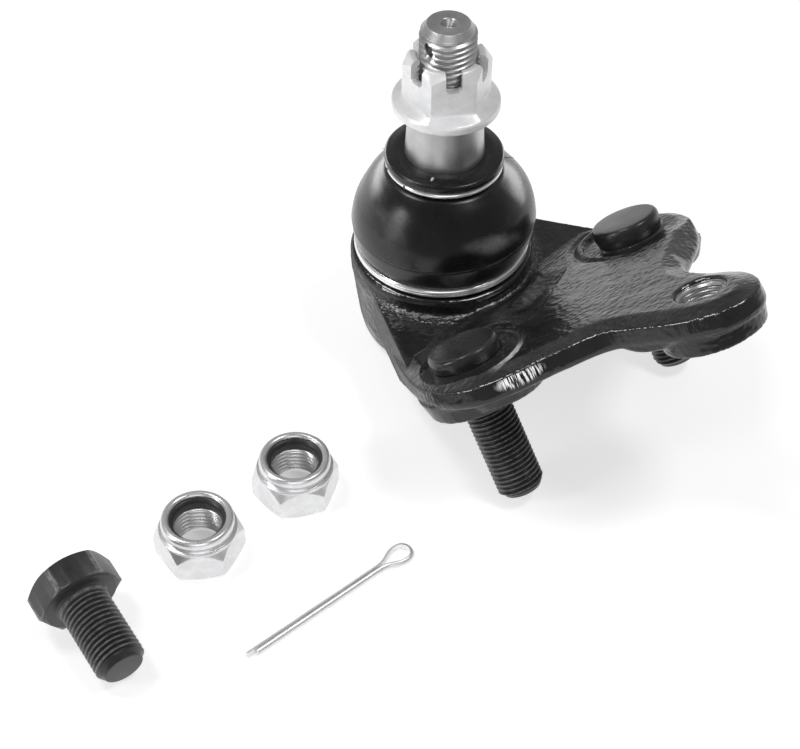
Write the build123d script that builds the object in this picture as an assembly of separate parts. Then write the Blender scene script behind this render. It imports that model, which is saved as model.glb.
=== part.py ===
from build123d import *
import os
from math import radians, sin, cos, tan, pi, sqrt

# Lower suspension ball joint with a forged three-point bracket.
# Row frame: origin at the ball centre, +Z up the ball stud at rest,
# +X towards the far (threaded) ear of the bracket, Y across the two studs.
# All lengths are in millimetres.

# ---------------- driving dimensions ----------------
FLOOR_Z = -18.0          # plane the joint stands on
BALL_R = 14.0            # ball of the stud
BALL_GAP = 0.20          # modelling gap between ball and seats
NECK_R = 8.0             # stud neck just above the ball
TAPER_BIG_R = 10.15      # big end of the 1:8 taper
TAPER_BIG_Z = 37.0
TAPER_SMALL_R = 9.20
TAPER_SMALL_Z = 52.2
THREAD_R = 6.92          # M14 x 1.5 crest radius
STUD_TOP_Z = 77.65
COTTER_HOLE_Z = 72.2
COTTER_HOLE_R = 1.6

PLATE_TILT = 33.2        # bracket plate against the horizontal, degrees
HEAD_X = 34.45           # midpoint of the two stud-bolt head tops
HEAD_Z = 18.8
STUD_PITCH = 62.8        # distance between the two stud bolts
EAR_C_S = 49.3           # threaded hole, along the plate from the stud line
H_TOP = -3.2             # plate top, below the head tops
H_SPOT = -4.0            # spot faces under the heads
H_BOTTOM = -9.8          # plate underside between the ears
H_WEB = -11.2            # underside of the web beside the socket
H_PAD = -14.3            # machined pads on the underside
H_PARTING = -8.0         # forging parting line
CROWN_W = 4.2            # the plate top falls away over this width
CROWN_D = 1.5            # and by this much before the trimmed edge
PLATE_UNDER_FILLET = 1.2
STUD_BOLT_LEN = 36.74     # under the head
STUD_R = 5.95            # M12 x 1.25 crest radius
KNURL_R = 6.35
STUD_HEAD_R = 8.85
M12_MINOR_R = 5.40

SPOT_R = 12.8            # spot faces, dished into the plate

SOCKET_TOP_Z = 10.7
SHOULDER_Z = 6.0         # level shoulder that joins socket and plate
SHOULDER_R = 24.8
WEB_UNDER_Z = -7.0       # the web stops here, above the socket's foot
SOCKET_BORE_R = 17.4
SEAT_OUT_R = 16.4

BOOT_RING_Z0 = 11.60     # lower turn of the base clip
BOOT_RING_PITCH = 1.45
BOOT_RING_WIRE_R = 0.75
BOOT_RING_R = 21.85
TOP_RING_Z = 37.35
TOP_RING_R = 14.05
TOP_RING_WIRE_R = 0.6

NUT_FLANGE_Z = 54.6
NUT_FLANGE_R = 13.3
NUT_HEX_AF = 19.0
NUT_H = 14.8
SLOT_W = 3.7
SLOT_D = 5.2

LOCK_AF = 18.85
LOCK_H = 11.9
BOLT_AF = 18.2
BOLT_HEAD_H = 7.5
BOLT_LEN = 19.8

os.makedirs("parts", exist_ok=True)

# ---------------- frames ----------------
c, a = cos(radians(PLATE_TILT)), sin(radians(PLATE_TILT))
PLATE = Plane(origin=(HEAD_X, 0, HEAD_Z), x_dir=(c, 0, a), z_dir=(-a, 0, c))


def plate_at(h, s=0, y=0):
    """plane parallel to the plate, h along its normal, centred at (s, y)"""
    o = PLATE.from_local_coords(Vector(s, y, h))
    return Plane(origin=o, x_dir=PLATE.x_dir, z_dir=PLATE.z_dir)


def cyl(plane, r, h0, h1):
    """cylinder about the plane's normal from h0 to h1"""
    p = plane.offset(h0)
    return extrude(p * Circle(r), h1 - h0)


def frustum(plane, r0, r1, h0, h1):
    """cone frustum about the plane's normal, r0 at h0 and r1 at h1"""
    return loft([plane.offset(h0) * Circle(r0), plane.offset(h1) * Circle(r1)])


def revolve_pts(pts, arc=360.0):
    """solid of revolution about Z from (r, z) points"""
    face = make_face(Polyline(*[(r, 0, z) for r, z in pts], close=True))
    return revolve(face, Axis.Z, arc)


# ---------------- bracket ----------------
def tangents(c1, r1, c2, r2):
    """quadrilateral under the two outer tangents of two circles"""
    dx, dy = c2[0] - c1[0], c2[1] - c1[1]
    d = sqrt(dx * dx + dy * dy)
    ux, uy = dx / d, dy / d
    k = (r1 - r2) / d
    h = sqrt(1 - k * k)
    pts = []
    for sg in (1, -1):
        nx, ny = ux * k - sg * uy * h, uy * k + sg * ux * h
        pts.append(((c1[0] + nx * r1, c1[1] + ny * r1), (c2[0] + nx * r2, c2[1] + ny * r2)))
    (p1, p2), (q1, q2) = pts
    return [p1, p2, q2, q1]


def disc(cx, cy, r):
    return Pos(cx, cy) * Circle(r)


def poly(pts):
    return make_face(Polyline(*[(x, y, 0) for x, y in pts], close=True))


# plate outline at the forging parting line, (s, y) from the front stud ear
# round the threaded ear to the rear stud ear and back under the socket
OUTLINE = [
    (-40.0, -25.0), (-30.0, -31.0), (-18.0, -38.2), (-9.0, -43.0), (-3.0, -45.2), (3.5, -46.2), (9.6, -45.8),
    (14.4, -44.0), (18.0, -41.0), (20.8, -37.2), (23.8, -32.0), (27.0, -26.8), (30.2, -21.8), (34.0, -18.0),
    (39.4, -16.1), (46.0, -14.8), (51.5, -13.6), (56.5, -11.8), (61.0, -9.0), (64.0, -4.4), (64.8, 0.4),
    (63.0, 5.0), (59.0, 8.8), (54.0, 11.0), (48.5, 11.4), (43.0, 11.0), (38.5, 11.2), (34.2, 12.6), (31.0, 15.4),
    (28.4, 19.2), (26.0, 23.6), (23.4, 28.6), (20.4, 33.4), (16.6, 38.0), (12.4, 41.6), (7.6, 44.0), (2.0, 45.3),
    (-4.2, 44.6), (-10.0, 41.8), (-18.0, 37.4), (-30.0, 30.4), (-40.0, 24.6)]


def outline(inset=0.0):
    """the plate outline drawn in by inset, square to itself"""
    n = len(OUTLINE)
    pts = []
    for i, (x, y) in enumerate(OUTLINE):
        x0, y0 = OUTLINE[max(i - 1, 0)]
        x1, y1 = OUTLINE[min(i + 1, n - 1)]
        tx, ty = x1 - x0, y1 - y0
        k = inset / sqrt(tx * tx + ty * ty)
        pts.append(Vector(x - ty * k, y + tx * k, 0))
    return make_face([Spline(*pts), Line(pts[-1], pts[0])])


def make_bracket():
    mid = plate_at(H_PARTING) * outline()
    up = loft([mid, plate_at(H_TOP) * outline((H_TOP - H_PARTING) * tan(radians(7)))], ruled=True)
    dn = loft([plate_at(H_BOTTOM) * outline((H_PARTING - H_BOTTOM) * tan(radians(18))), mid], ruled=True)
    plate = up + dn

    def rim(h):
        # the long spline edge of the plate at height h
        es = [e for e in plate.edges() if e.length > 150
              and abs((e @ 0.37 - PLATE.origin).dot(PLATE.z_dir) - h) < 0.02]
        return es[:1]

    edge = rim(H_TOP)[0]
    touching = [f for f in plate.faces() if any(
        (edge @ 0.37 - e @ 0.37).length < 1e-3 or (edge @ 0.37 - e @ 0.63).length < 1e-3 for e in f.edges())]
    top_face = max(touching, key=lambda f: abs(f.normal_at().dot(PLATE.z_dir)))
    plate = plate.chamfer(CROWN_W, CROWN_D, [edge], top_face)
    plate = plate.fillet(PLATE_UNDER_FILLET, rim(H_BOTTOM))
    # socket body, a drafted forging
    socket = revolve_pts([
        (0, FLOOR_Z), (17.0, FLOOR_Z), (18.9, FLOOR_Z + 1.0), (20.3, FLOOR_Z + 3.4),
        (21.4, FLOOR_Z + 8.0), (23.2, SHOULDER_Z - 2.2), (23.5, SHOULDER_Z - 0.6), (23.5, SHOULDER_Z + 1.2),
        (23.6, SHOULDER_Z + 3.4), (23.2, SOCKET_TOP_Z - 0.4), (22.7, SOCKET_TOP_Z), (0, SOCKET_TOP_Z)])
    # level shoulder from the socket to the ears
    def hull(o):
        rs, ce, re = SHOULDER_R - 3.2 + o, (33.0, 28.5), 12.2 + o
        h = disc(0, 0, rs) + disc(ce[0], ce[1], re) + disc(ce[0], -ce[1], re)
        h = h + poly(tangents((0, 0), rs, ce, re)) + poly(tangents((0, 0), rs, (ce[0], -ce[1]), re))
        return h + poly(tangents(ce, re, (ce[0], -ce[1]), re)) + poly([(0, -20), (33, -20), (33, 20), (0, 20)])

    web = extrude(Plane.XY.offset(SHOULDER_Z) * hull(0.0), 40, dir=(0, 0, -1), taper=4)
    # keep the web between the underside plane and the shoulder, and off the far ears
    under = extrude(plate_at(H_WEB) * Rectangle(200, 200), 80)
    web = web & under
    lim = Location((-70 + 30.0, 0, 0)) * Box(140, 200, 200)
    web = web & lim
    solid = plate & (Location((70 - 6.0, 0, 0)) * Box(140, 200, 200))
    solid = (solid + web) & (Location((0, 0, 100 + WEB_UNDER_Z)) * Box(400, 400, 200))
    solid = solid + socket
    # nothing of the plate above the shoulder inside the boot clip
    ring_room = revolve_pts([(23.5, SHOULDER_Z + 1.2), (25.4, SHOULDER_Z + 1.2), (26.8, SOCKET_TOP_Z + 2.5),
                             (26.8, 60), (0, 60), (0, SOCKET_TOP_Z), (22.7, SOCKET_TOP_Z), (23.2, SOCKET_TOP_Z - 0.4),
                             (23.6, SHOULDER_Z + 3.4)])
    solid = solid - ring_room
    # machined pads, spot faces, holes
    for s, y in ((0, -STUD_PITCH / 2), (0, STUD_PITCH / 2)):
        pl = plate_at(0, s, y)
        # boss under the ear, drawn out a little towards the far ear
        solid = solid + frustum(pl, 13.2, 14.7, H_PAD, H_PARTING - 0.8)
        solid = solid + frustum(plate_at(0, 7.5, y * 0.97), 10.6, 12.4, H_PAD + 1.4, H_PARTING - 0.8)
        solid = solid - cyl(plate_at(0, 0.8, y * 0.985), SPOT_R, H_SPOT, 6.0)
        solid = solid - cyl(pl, KNURL_R, H_PAD - 2, 2)
    pl = plate_at(0, EAR_C_S, 0)
    solid = solid + frustum(pl, 12.4, 13.2, H_PAD, H_PARTING - 0.8)
    # the neck of the far ear is thicker than the middle of the plate
    neck = frustum(plate_at(0, 39.5, -1.0), 13.6, 16.6, H_PAD + 2.8, H_PARTING - 0.4)
    solid = solid + (neck & extrude(plate_at(H_PAD) * outline(0.7), 10))
    solid = solid - cyl(pl, M12_MINOR_R, H_PAD - 2, 2)
    solid = solid - loft([pl.offset(H_TOP - 1.0) * Circle(M12_MINOR_R - 0.01), pl.offset(H_TOP + 0.01) * Circle(6.55)])
    # the rear ear's flank towards the threaded ear is a broad forged chamfer that runs out at the notch
    qx, qy = 0.861, 0.509
    secs = []
    for t, f in ((-42.0, 1.0), (-4.0, 1.0), (6.5, 0.12)):
        o = PLATE.from_local_coords(Vector(34.5 * qx + t * 0.509, 34.5 * qy - t * 0.861, 0))
        fr = Plane(origin=o, x_dir=PLATE.x_dir * qx + PLATE.y_dir * qy, z_dir=PLATE.x_dir * 0.509 - PLATE.y_dir * 0.861)
        sgn = 1 if fr.y_dir.dot(PLATE.z_dir) > 0 else -1
        k = 4.0 * f
        secs.append(fr * make_face(Polyline((0.6, sgn * (H_TOP - k - 0.6), 0), (-k - 0.6, sgn * (H_TOP + 0.6), 0),
                                            (6.0, sgn * (H_TOP + 0.6), 0), (6.0, sgn * (H_TOP - k - 0.6), 0), close=True)))
    solid = solid - loft(secs, ruled=True)
    # socket bore: swing opening, upper bore, cover recess
    bore = revolve_pts([
        (0, FLOOR_Z - 1), (15.6, FLOOR_Z - 1), (15.6, FLOOR_Z + 1.5), (SOCKET_BORE_R, FLOOR_Z + 1.5),
        (SOCKET_BORE_R, -13.0), (SEAT_OUT_R, -12.6), (SEAT_OUT_R, 5.4), (14.9, 6.0), (14.9, 8.0),
        (16.6, SOCKET_TOP_Z), (16.6, SOCKET_TOP_Z + 1), (0, SOCKET_TOP_Z + 1)])
    solid = solid - bore
    return solid


bracket = make_bracket()

# ---------------- stud bolts, pressed into the bracket ----------------
def stud_bolt(y, top=0.0):
    pl = plate_at(0, 0, y)
    head = cyl(pl, STUD_HEAD_R, H_SPOT, top)
    head = chamfer(head.edges().sort_by(lambda e: (e.center() - pl.origin).dot(pl.z_dir))[-1], 0.7)
    body = cyl(pl, KNURL_R, H_PAD - 0.6, H_SPOT)
    shank = cyl(pl, STUD_R, H_SPOT - STUD_BOLT_LEN, H_PAD - 0.6)
    shank = chamfer(shank.edges().sort_by(lambda e: (e.center() - pl.origin).dot(pl.z_dir))[0], 1.0)
    return head + body + shank


stud_front = stud_bolt(-STUD_PITCH / 2)
stud_rear = stud_bolt(STUD_PITCH / 2, 0.8)

# ---------------- inside the socket ----------------
sr = BALL_R + BALL_GAP
upper = revolve_pts([(0, -0.5), (SEAT_OUT_R, -0.5), (SEAT_OUT_R, 5.4), (14.9, 6.0), (0, 6.0)])
upper = upper - Sphere(sr) - Cylinder(12.25, 40)
lower = revolve_pts([(0, -12.4), (SEAT_OUT_R, -12.4), (SEAT_OUT_R, -0.5), (0, -0.5)])
lower = lower - Sphere(sr) - Cylinder(8.0, 60)
spring = revolve_pts([(8.2, -14.35), (15.9, -13.1), (15.9, -12.45), (8.2, -13.7)])
cover = revolve_pts([(0, -15.4), (5.0, -15.4), (7.0, -16.5), (SOCKET_BORE_R, -16.5),
                     (SOCKET_BORE_R, -14.4), (0, -14.4)])

# ---------------- boot ----------------
BOOT_OUT = [
    (21.0, 10.9), (21.0, 14.0), (22.4, 14.3), (23.1, 16.4), (23.55, 19.2), (23.6, 20.8), (23.3, 23.2),
    (22.5, 26.0), (21.2, 28.6), (19.3, 31.6), (17.2, 33.9), (14.7, 35.6), (13.35, 36.6), (13.35, 38.0),
    (14.95, 38.6), (14.95, 40.3), (12.4, 41.0), (10.45, 41.0)]
BOOT_IN = [
    (10.45, 37.2), (11.6, 36.4), (13.6, 34.4), (16.2, 31.8), (18.6, 29.0), (20.3, 26.0), (21.1, 22.6), (21.2, 19.0),
    (20.8, 16.0), (19.6, 13.4), (17.2, 11.9), (17.2, 10.9)]
boot = revolve_pts(BOOT_OUT + BOOT_IN)


def ring(r, z, w):
    return Location((0, 0, z)) * Torus(r, w)


base_ring = ring(BOOT_RING_R, BOOT_RING_Z0, BOOT_RING_WIRE_R) + ring(
    BOOT_RING_R, BOOT_RING_Z0 + BOOT_RING_PITCH, BOOT_RING_WIRE_R)
top_ring = ring(TOP_RING_R, TOP_RING_Z, TOP_RING_WIRE_R)

# ---------------- ball stud ----------------
ball_cut = -12.2
zn = sqrt(BALL_R ** 2 - NECK_R ** 2)
lathe = revolve_pts([
    (0, 8), (NECK_R, 8), (NECK_R, zn + 4.0), (NECK_R + 0.35, zn + 9.0), (TAPER_BIG_R - 0.7, TAPER_BIG_Z - 5.0),
    (TAPER_BIG_R, TAPER_BIG_Z - 2.0), (TAPER_BIG_R, TAPER_BIG_Z), (TAPER_SMALL_R, TAPER_SMALL_Z),
    (THREAD_R - 0.95, TAPER_SMALL_Z + 1.2), (THREAD_R - 0.95, TAPER_SMALL_Z + 2.2), (THREAD_R, TAPER_SMALL_Z + 3.2),
    (THREAD_R, STUD_TOP_Z - 1.9), (5.25, STUD_TOP_Z), (2.1, STUD_TOP_Z), (0.9, STUD_TOP_Z - 1.7), (0, STUD_TOP_Z - 3.2)])
ball = Sphere(BALL_R) & (Location((0, 0, 50 + ball_cut)) * Box(60, 60, 100))
ball_stud = ball + lathe
hole_dir = -100.5 + 0.0  # azimuth of the cotter hole in the row frame, degrees
hp = Plane(origin=(0, 0, COTTER_HOLE_Z), x_dir=(0, 0, 1), z_dir=(cos(radians(hole_dir)), sin(radians(hole_dir)), 0))
ball_stud = ball_stud - extrude(hp.offset(-12) * Circle(COTTER_HOLE_R), 24)
for sgn in (1, -1):
    hq = Plane(origin=(0, 0, COTTER_HOLE_Z), x_dir=(0, 0, 1),
               z_dir=(sgn * cos(radians(hole_dir)), sgn * sin(radians(hole_dir)), 0))
    ball_stud = ball_stud - loft([hq.offset(5.35) * Circle(COTTER_HOLE_R - 0.05), hq.offset(7.6) * Circle(3.55)])

# ---------------- castle nut ----------------
def hexagon(af):
    return RegularPolygon(radius=af / sqrt(3), side_count=6)


def castle_nut():
    z0 = NUT_FLANGE_Z
    fl = revolve_pts([(0, z0), (NUT_FLANGE_R - 0.3, z0), (NUT_FLANGE_R, z0 + 0.4), (NUT_FLANGE_R, z0 + 2.1),
                      (NUT_FLANGE_R - 0.4, z0 + 2.5), (11.0, z0 + 3.1), (9.6, z0 + 3.8), (0, z0 + 3.8)])
    hx = extrude(Plane.XY.offset(z0 + 2) * hexagon(NUT_HEX_AF), NUT_H - 2)
    cone = revolve_pts([(0, z0), (NUT_HEX_AF, z0), (NUT_HEX_AF, z0 + NUT_H - 6.0), (9.0, z0 + NUT_H), (0, z0 + NUT_H)])
    hx = hx & cone
    n = fl + hx
    n = n - Cylinder(THREAD_R + 0.08, 300)
    n = n - revolve_pts([(0, z0 - 1), (THREAD_R + 0.95, z0 - 1), (THREAD_R + 0.95, z0), (THREAD_R + 0.05, z0 + 0.9), (0, z0 + 0.9)])
    slot = Location((0, 0, z0 + NUT_H)) * Box(60, SLOT_W, 2 * SLOT_D)
    for k in range(3):
        n = n - (Rotation(0, 0, 30 + 60 * k) * slot)
    return n


NUT_YAW = 52.3
nut = Rotation(0, 0, NUT_YAW) * castle_nut()

# ---------------- loose fasteners laid beside the joint ----------------
def lock_nut(x, y, yaw):
    z = FLOOR_Z
    body = extrude(Plane.XY.offset(z) * hexagon(LOCK_AF), LOCK_H - 3.6)
    shape = revolve_pts([(0, z), (LOCK_AF / 2 + 0.1, z), (LOCK_AF / 2 + 1.5, z + 0.9), (LOCK_AF / 2 + 1.5, z + LOCK_H - 4.7),
                         (LOCK_AF / 2 - 0.35, z + LOCK_H - 3.6), (0, z + LOCK_H - 3.6)])
    body = body & shape
    collar = revolve_pts([(0, z + 6), (9.0, z + 6), (9.0, z + LOCK_H - 1.9), (8.4, z + LOCK_H - 0.5), (7.3, z + LOCK_H),
                          (6.75, z + LOCK_H), (6.75, z + LOCK_H - 0.7), (0, z + LOCK_H - 0.7)])
    body = body + collar
    pocket = revolve_pts([(0, z + LOCK_H - 3.8), (7.7, z + LOCK_H - 3.8), (7.7, z + LOCK_H - 0.75), (6.75, z + LOCK_H - 0.7),
                          (6.75, z + LOCK_H + 1), (0, z + LOCK_H + 1)])
    body = body - pocket - Cylinder(M12_MINOR_R, 300)
    body = body - revolve_pts([(0, z - 1), (6.4, z - 1), (6.4, z), (5.35, z + 1.0), (0, z + 1.0)])
    ins = revolve_pts([(5.55, z + LOCK_H - 3.75), (7.65, z + LOCK_H - 3.75), (7.65, z + LOCK_H - 0.85), (5.95, z + LOCK_H - 0.85),
                       (5.55, z + LOCK_H - 1.2)])
    loc = Location((x, y, 0)) * Rotation(0, 0, yaw)
    return loc * body, loc * ins


nut_a, ins_a = lock_nut(12.25, -97.55, 50.2)
nut_b, ins_b = lock_nut(15.05, -68.5, 56.7)

# hex bolt lying on a flat of its head and the tip of its thread
bolt_tilt = 8.8
bz = FLOOR_Z + BOLT_AF / 2 * cos(radians(bolt_tilt)) + 0.0
az = radians(-12.35)
bdir = Vector(cos(az) * cos(radians(bolt_tilt)), sin(az) * cos(radians(bolt_tilt)), -sin(radians(bolt_tilt)))
bside = Vector(-sin(az), cos(az), 0)
bup = bdir.cross(bside)
BP = Plane(origin=(10.22, -130.72, bz), x_dir=bside, z_dir=bdir)


def bolt():
    head = extrude(hexagon(BOLT_AF), -BOLT_HEAD_H)
    hc = revolve_pts([(0, 0), (BOLT_AF / 2 + 0.55, 0), (BOLT_AF / 2 + 1.45, -0.5), (BOLT_AF / 2 + 1.45, -BOLT_HEAD_H + 1.2),
                      (BOLT_AF / 2 - 0.6, -BOLT_HEAD_H), (0, -BOLT_HEAD_H)])
    head = head & hc
    sh = revolve_pts([(0, -0.1), (STUD_R + 0.35, -0.1), (STUD_R, 0.6), (STUD_R, BOLT_LEN - 1.0), (STUD_R - 1.0, BOLT_LEN), (0, BOLT_LEN)])
    return head + sh


hex_bolt = BP.location * bolt()
low = hex_bolt.bounding_box().min.Z
hex_bolt = Location((0, 0, FLOOR_Z - low)) * hex_bolt

# split cotter pin: two half-round legs and an eye, lying flat
COTTER_D = 2.3
COTTER_EYE = 5.2


def cotter():
    d = COTTER_D
    ro = COTTER_EYE / 2
    cx = ro                     # eye centre, legs run along +X
    rm = ro - d / 4
    jx = cx + 5.2               # where the legs meet
    y0 = d / 4
    # one leg's centre line: along the split, then round the eye
    ang = 32.0
    px, py = cx + rm * cos(radians(ang)), rm * sin(radians(ang))
    path_eye = ThreePointArc((px, py), (cx - rm, 0), (px, -py))
    l1 = Line((px, py), (jx, y0))
    l1b = Line((jx, y0), (48.4, y0))
    l2 = Line((px, -py), (jx, -y0))
    l2b = Line((jx, -y0), (46.4, -y0))
    r = d / 4
    parts = []
    sq = lambda edge: None
    body = None
    for e in (l1b, l1, path_eye, l2, l2b):
        p0 = e @ 0
        t0 = e % 0
        sec = Plane(origin=p0, x_dir=(0, 0, 1), z_dir=t0) * (Rectangle(d * 0.92, d / 2) if True else None)
        s = sweep(sec, path=e)
        body = s if body is None else body + s
    for pt, zz in (((px, py), 0), ((px, -py), 0), ((jx, y0), 0), ((jx, -y0), 0)):
        body = body + Location((pt[0], pt[1], 0)) * Cylinder(d / 4, d * 0.92)
    return body


ca = -95.75
eye = Location((11.0, -73.6, FLOOR_Z + COTTER_D * 0.46))
eye_c = Vector(49.6, -66.0, 0)
cot = Rotation(0, 0, ca) * (Location((-COTTER_EYE / 2, 0, 0)) * cotter())
COT_X, COT_Y = 48.5, -65.9
cot = Location((COT_X, COT_Y, 0)) * cot
lowc = cot.bounding_box().min.Z
cot = Location((0, 0, FLOOR_Z - lowc)) * cot

# ---------------- write the nodes ----------------
NODES = {
    "housing_bracket": bracket,
    "stud_bolt_front": stud_front,
    "stud_bolt_rear": stud_rear,
    "upper_bearing_seat": upper,
    "lower_bearing_seat": lower,
    "preload_spring": spring,
    "cover_plate": cover,
    "boot_base_ring": base_ring,
    "boot": boot,
    "boot_top_ring": top_ring,
    "ball_stud": ball_stud,
    "castle_nut": nut,
    "lock_nut_front_body": nut_a,
    "lock_nut_front_insert": ins_a,
    "lock_nut_rear_body": nut_b,
    "lock_nut_rear_insert": ins_b,
    "hex_bolt": hex_bolt,
    "cotter_pin": cot,
}
for name, shape in NODES.items():
    export_step(shape, f"parts/{name}.step")
    b = shape.bounding_box()
    print(name, round(shape.volume, 1), len(shape.solids()), [round(v, 2) for v in (b.min.X, b.min.Y, b.min.Z, b.max.X, b.max.Y, b.max.Z)])
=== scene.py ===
import math

import bmesh
import bpy
import numpy as np
from mathutils import Matrix, Vector, noise


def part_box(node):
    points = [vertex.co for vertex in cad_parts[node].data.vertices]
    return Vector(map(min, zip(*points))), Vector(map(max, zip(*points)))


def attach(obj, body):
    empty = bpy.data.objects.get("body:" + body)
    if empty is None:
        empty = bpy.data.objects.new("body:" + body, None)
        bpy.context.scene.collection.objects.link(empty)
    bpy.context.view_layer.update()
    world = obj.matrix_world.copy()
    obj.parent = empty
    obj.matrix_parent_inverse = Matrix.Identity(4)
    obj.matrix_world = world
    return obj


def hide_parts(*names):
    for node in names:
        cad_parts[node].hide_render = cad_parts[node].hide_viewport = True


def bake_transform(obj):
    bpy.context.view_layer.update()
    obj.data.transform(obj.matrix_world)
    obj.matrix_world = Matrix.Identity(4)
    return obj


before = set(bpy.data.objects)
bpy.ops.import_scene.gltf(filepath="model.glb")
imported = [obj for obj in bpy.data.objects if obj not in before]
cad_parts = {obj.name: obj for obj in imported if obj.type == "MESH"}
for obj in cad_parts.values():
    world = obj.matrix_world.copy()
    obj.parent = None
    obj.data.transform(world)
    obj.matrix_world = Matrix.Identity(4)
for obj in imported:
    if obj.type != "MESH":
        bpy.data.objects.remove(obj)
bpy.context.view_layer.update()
MM = 0.001
FLOOR = -18.0          # mm, the plane the joint stands on
sc = bpy.context.scene
sc.view_settings.view_transform = "Standard"

# ------------------------------------------------------------------ mesh kit
# All lengths in the mesh kit are millimetres; objects are made in metres.


def smooth01(t):
    t = np.clip(t, 0.0, 1.0)
    return t * t * (3 - 2 * t)


def round_profile(pts, closed=False, n=4):
    """rounds the corners of an (r, z) outline. Each point is (r, z, radius); r and z may be arrays over the columns"""
    S = max(np.size(p[0]) if np.size(p[0]) > 1 else np.size(p[1]) for p in pts)
    P = np.stack([np.stack([np.broadcast_to(np.asarray(p[0], float), (S,)),
                            np.broadcast_to(np.asarray(p[1], float), (S,))], -1) for p in pts])
    R = [p[2] if len(p) > 2 else 0.0 for p in pts]
    K = len(pts)
    rows = []
    for i in range(K):
        if (not closed and i in (0, K - 1)) or R[i] <= 0:
            rows.append(P[i])
            continue
        A, B, C = P[i - 1], P[i], P[(i + 1) % K]
        u, v = A - B, C - B
        lu = np.linalg.norm(u, axis=-1, keepdims=True) + 1e-9
        lv = np.linalg.norm(v, axis=-1, keepdims=True) + 1e-9
        t = np.minimum(R[i], 0.48 * np.minimum(lu, lv))
        a, c = B + u / lu * t, B + v / lv * t
        for k in range(n + 1):
            s = k / n
            rows.append((1 - s) ** 2 * a + 2 * s * (1 - s) * B + s ** 2 * c)
    return np.stack(rows)          # (rows, columns, 2)


def angles(S):
    return 2 * np.pi * np.arange(S) / S


def sweep_z(prof, S=None):
    """(rows, columns, 2) outline -> (rows, columns, 3) points about Z"""
    if prof.shape[1] == 1:
        prof = np.repeat(prof, S, axis=1)
    th = angles(prof.shape[1])
    return np.stack([prof[..., 0] * np.cos(th), prof[..., 0] * np.sin(th), prof[..., 1]], -1)


class Solid:
    def __init__(self):
        self.V, self.F, self.n = [], [], 0

    def grid(self, P, shift=0, wrap_rows=False):
        """quads over a (rows, columns, 3) grid; columns always wrap, and the wrap may climb by shift rows (a helix)"""
        K, S = P.shape[:2]
        idx = self.n + np.arange(K * S).reshape(K, S)
        self.V.append(P.reshape(-1, 3))
        self.n += K * S
        kk = K if wrap_rows else K - 1
        r0 = np.arange(kk)
        r1 = (r0 + 1) % K if wrap_rows else r0 + 1
        for j in range(S - 1):
            self.F.append(np.stack([idx[r0, j], idx[r0, j + 1], idx[r1, j + 1], idx[r1, j]], -1))
        s0, s1 = np.minimum(r0 + shift, K - 1), np.minimum(r1 + shift, K - 1)
        if wrap_rows:
            s0, s1 = r0, r1
        self.F.append(np.stack([idx[r0, S - 1], idx[s0, 0], idx[s1, 0], idx[r1, S - 1]], -1))
        return self

    def make(self, name, matrix=None, sharp=38.0, tol=2.5e-7):
        V = np.concatenate(self.V)
        F = np.concatenate(self.F)
        if matrix is not None:
            M = np.array(matrix)
            V = V @ M[:3, :3].T + M[:3, 3]
        return mesh_object(name, V, F, sharp, tol)


def mesh_object(name, V, F, sharp=38.0, tol=2.5e-7):
    me = bpy.data.meshes.new(name)
    me.from_pydata((np.asarray(V) * MM).tolist(), [], [list(map(int, f)) for f in F])
    bm = bmesh.new()
    bm.from_mesh(me)
    bmesh.ops.remove_doubles(bm, verts=bm.verts, dist=tol)
    loose = [v for v in bm.verts if not v.link_faces]
    if loose:
        bmesh.ops.delete(bm, geom=loose, context="VERTS")
    bmesh.ops.recalc_face_normals(bm, faces=bm.faces)
    bm.to_mesh(me)
    bm.free()
    finish_mesh(me, sharp)
    ob = bpy.data.objects.new(name, me)
    sc.collection.objects.link(ob)
    return ob


def finish_mesh(me, sharp=38.0):
    for p in me.polygons:
        p.use_smooth = True
    if sharp:
        me.set_sharp_from_angle(angle=math.radians(sharp))
    me.update()


THREAD = [(0.0, 0.07), (0.03, 0.0), (0.10, 0.0), (0.13, 0.07), (0.27, 0.5), (0.41, 0.92), (0.50, 1.0), (0.63, 1.0),
          (0.72, 0.92), (0.86, 0.5)]


def thread_rows(r_open, depth, pitch, z0, z1, S, inner=False, fade0=0.0, fade1=0.0, cone0=0.0, cone1=0.0, r_end0=None,
                r_end1=None, left=False):
    """rows of a helical thread from z0 to z1. r_open is the crest radius of an outer thread, or the crest (small) radius
    of an inner one. fade0/fade1: length over which the groove runs out; cone0/cone1: length of the lead-in cone"""
    M = len(THREAD)
    ph = np.array([p for p, _ in THREAD])
    dp = np.array([d for _, d in THREAD])
    turns = int(math.ceil((z1 - z0) / pitch)) + 2
    base = np.concatenate([z0 - pitch + pitch * (t + ph) for t in range(turns + 1)])
    th = angles(S)
    Z = base[:, None] + pitch * th[None, :] / (2 * np.pi)
    Z = np.clip(Z, z0, z1)
    phase = ((Z - (z0 - pitch)) / pitch - th[None, :] / (2 * np.pi)) % 1.0
    d = np.interp(phase, np.append(ph, 1.0), np.append(dp, dp[0]))
    k = np.ones_like(Z)
    if fade0:
        k = k * smooth01((Z - z0) / fade0)
    if fade1:
        k = k * smooth01((z1 - Z) / fade1)
    if inner:
        R = r_open + depth * d * k
        if cone0:
            R = np.maximum(R, r_open + (r_end0 - r_open) * (1 - (Z - z0) / cone0))
        if cone1:
            R = np.maximum(R, r_open + (r_end1 - r_open) * (1 - (z1 - Z) / cone1))
    else:
        R = r_open - depth * d * k
        if cone0:
            R = np.minimum(R, r_end0 + (r_open - r_end0) * (Z - z0) / cone0)
        if cone1:
            R = np.minimum(R, r_end1 + (r_open - r_end1) * (z1 - Z) / cone1)
    return np.stack([R * np.cos(th), R * np.sin(th), Z], -1), M


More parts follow.
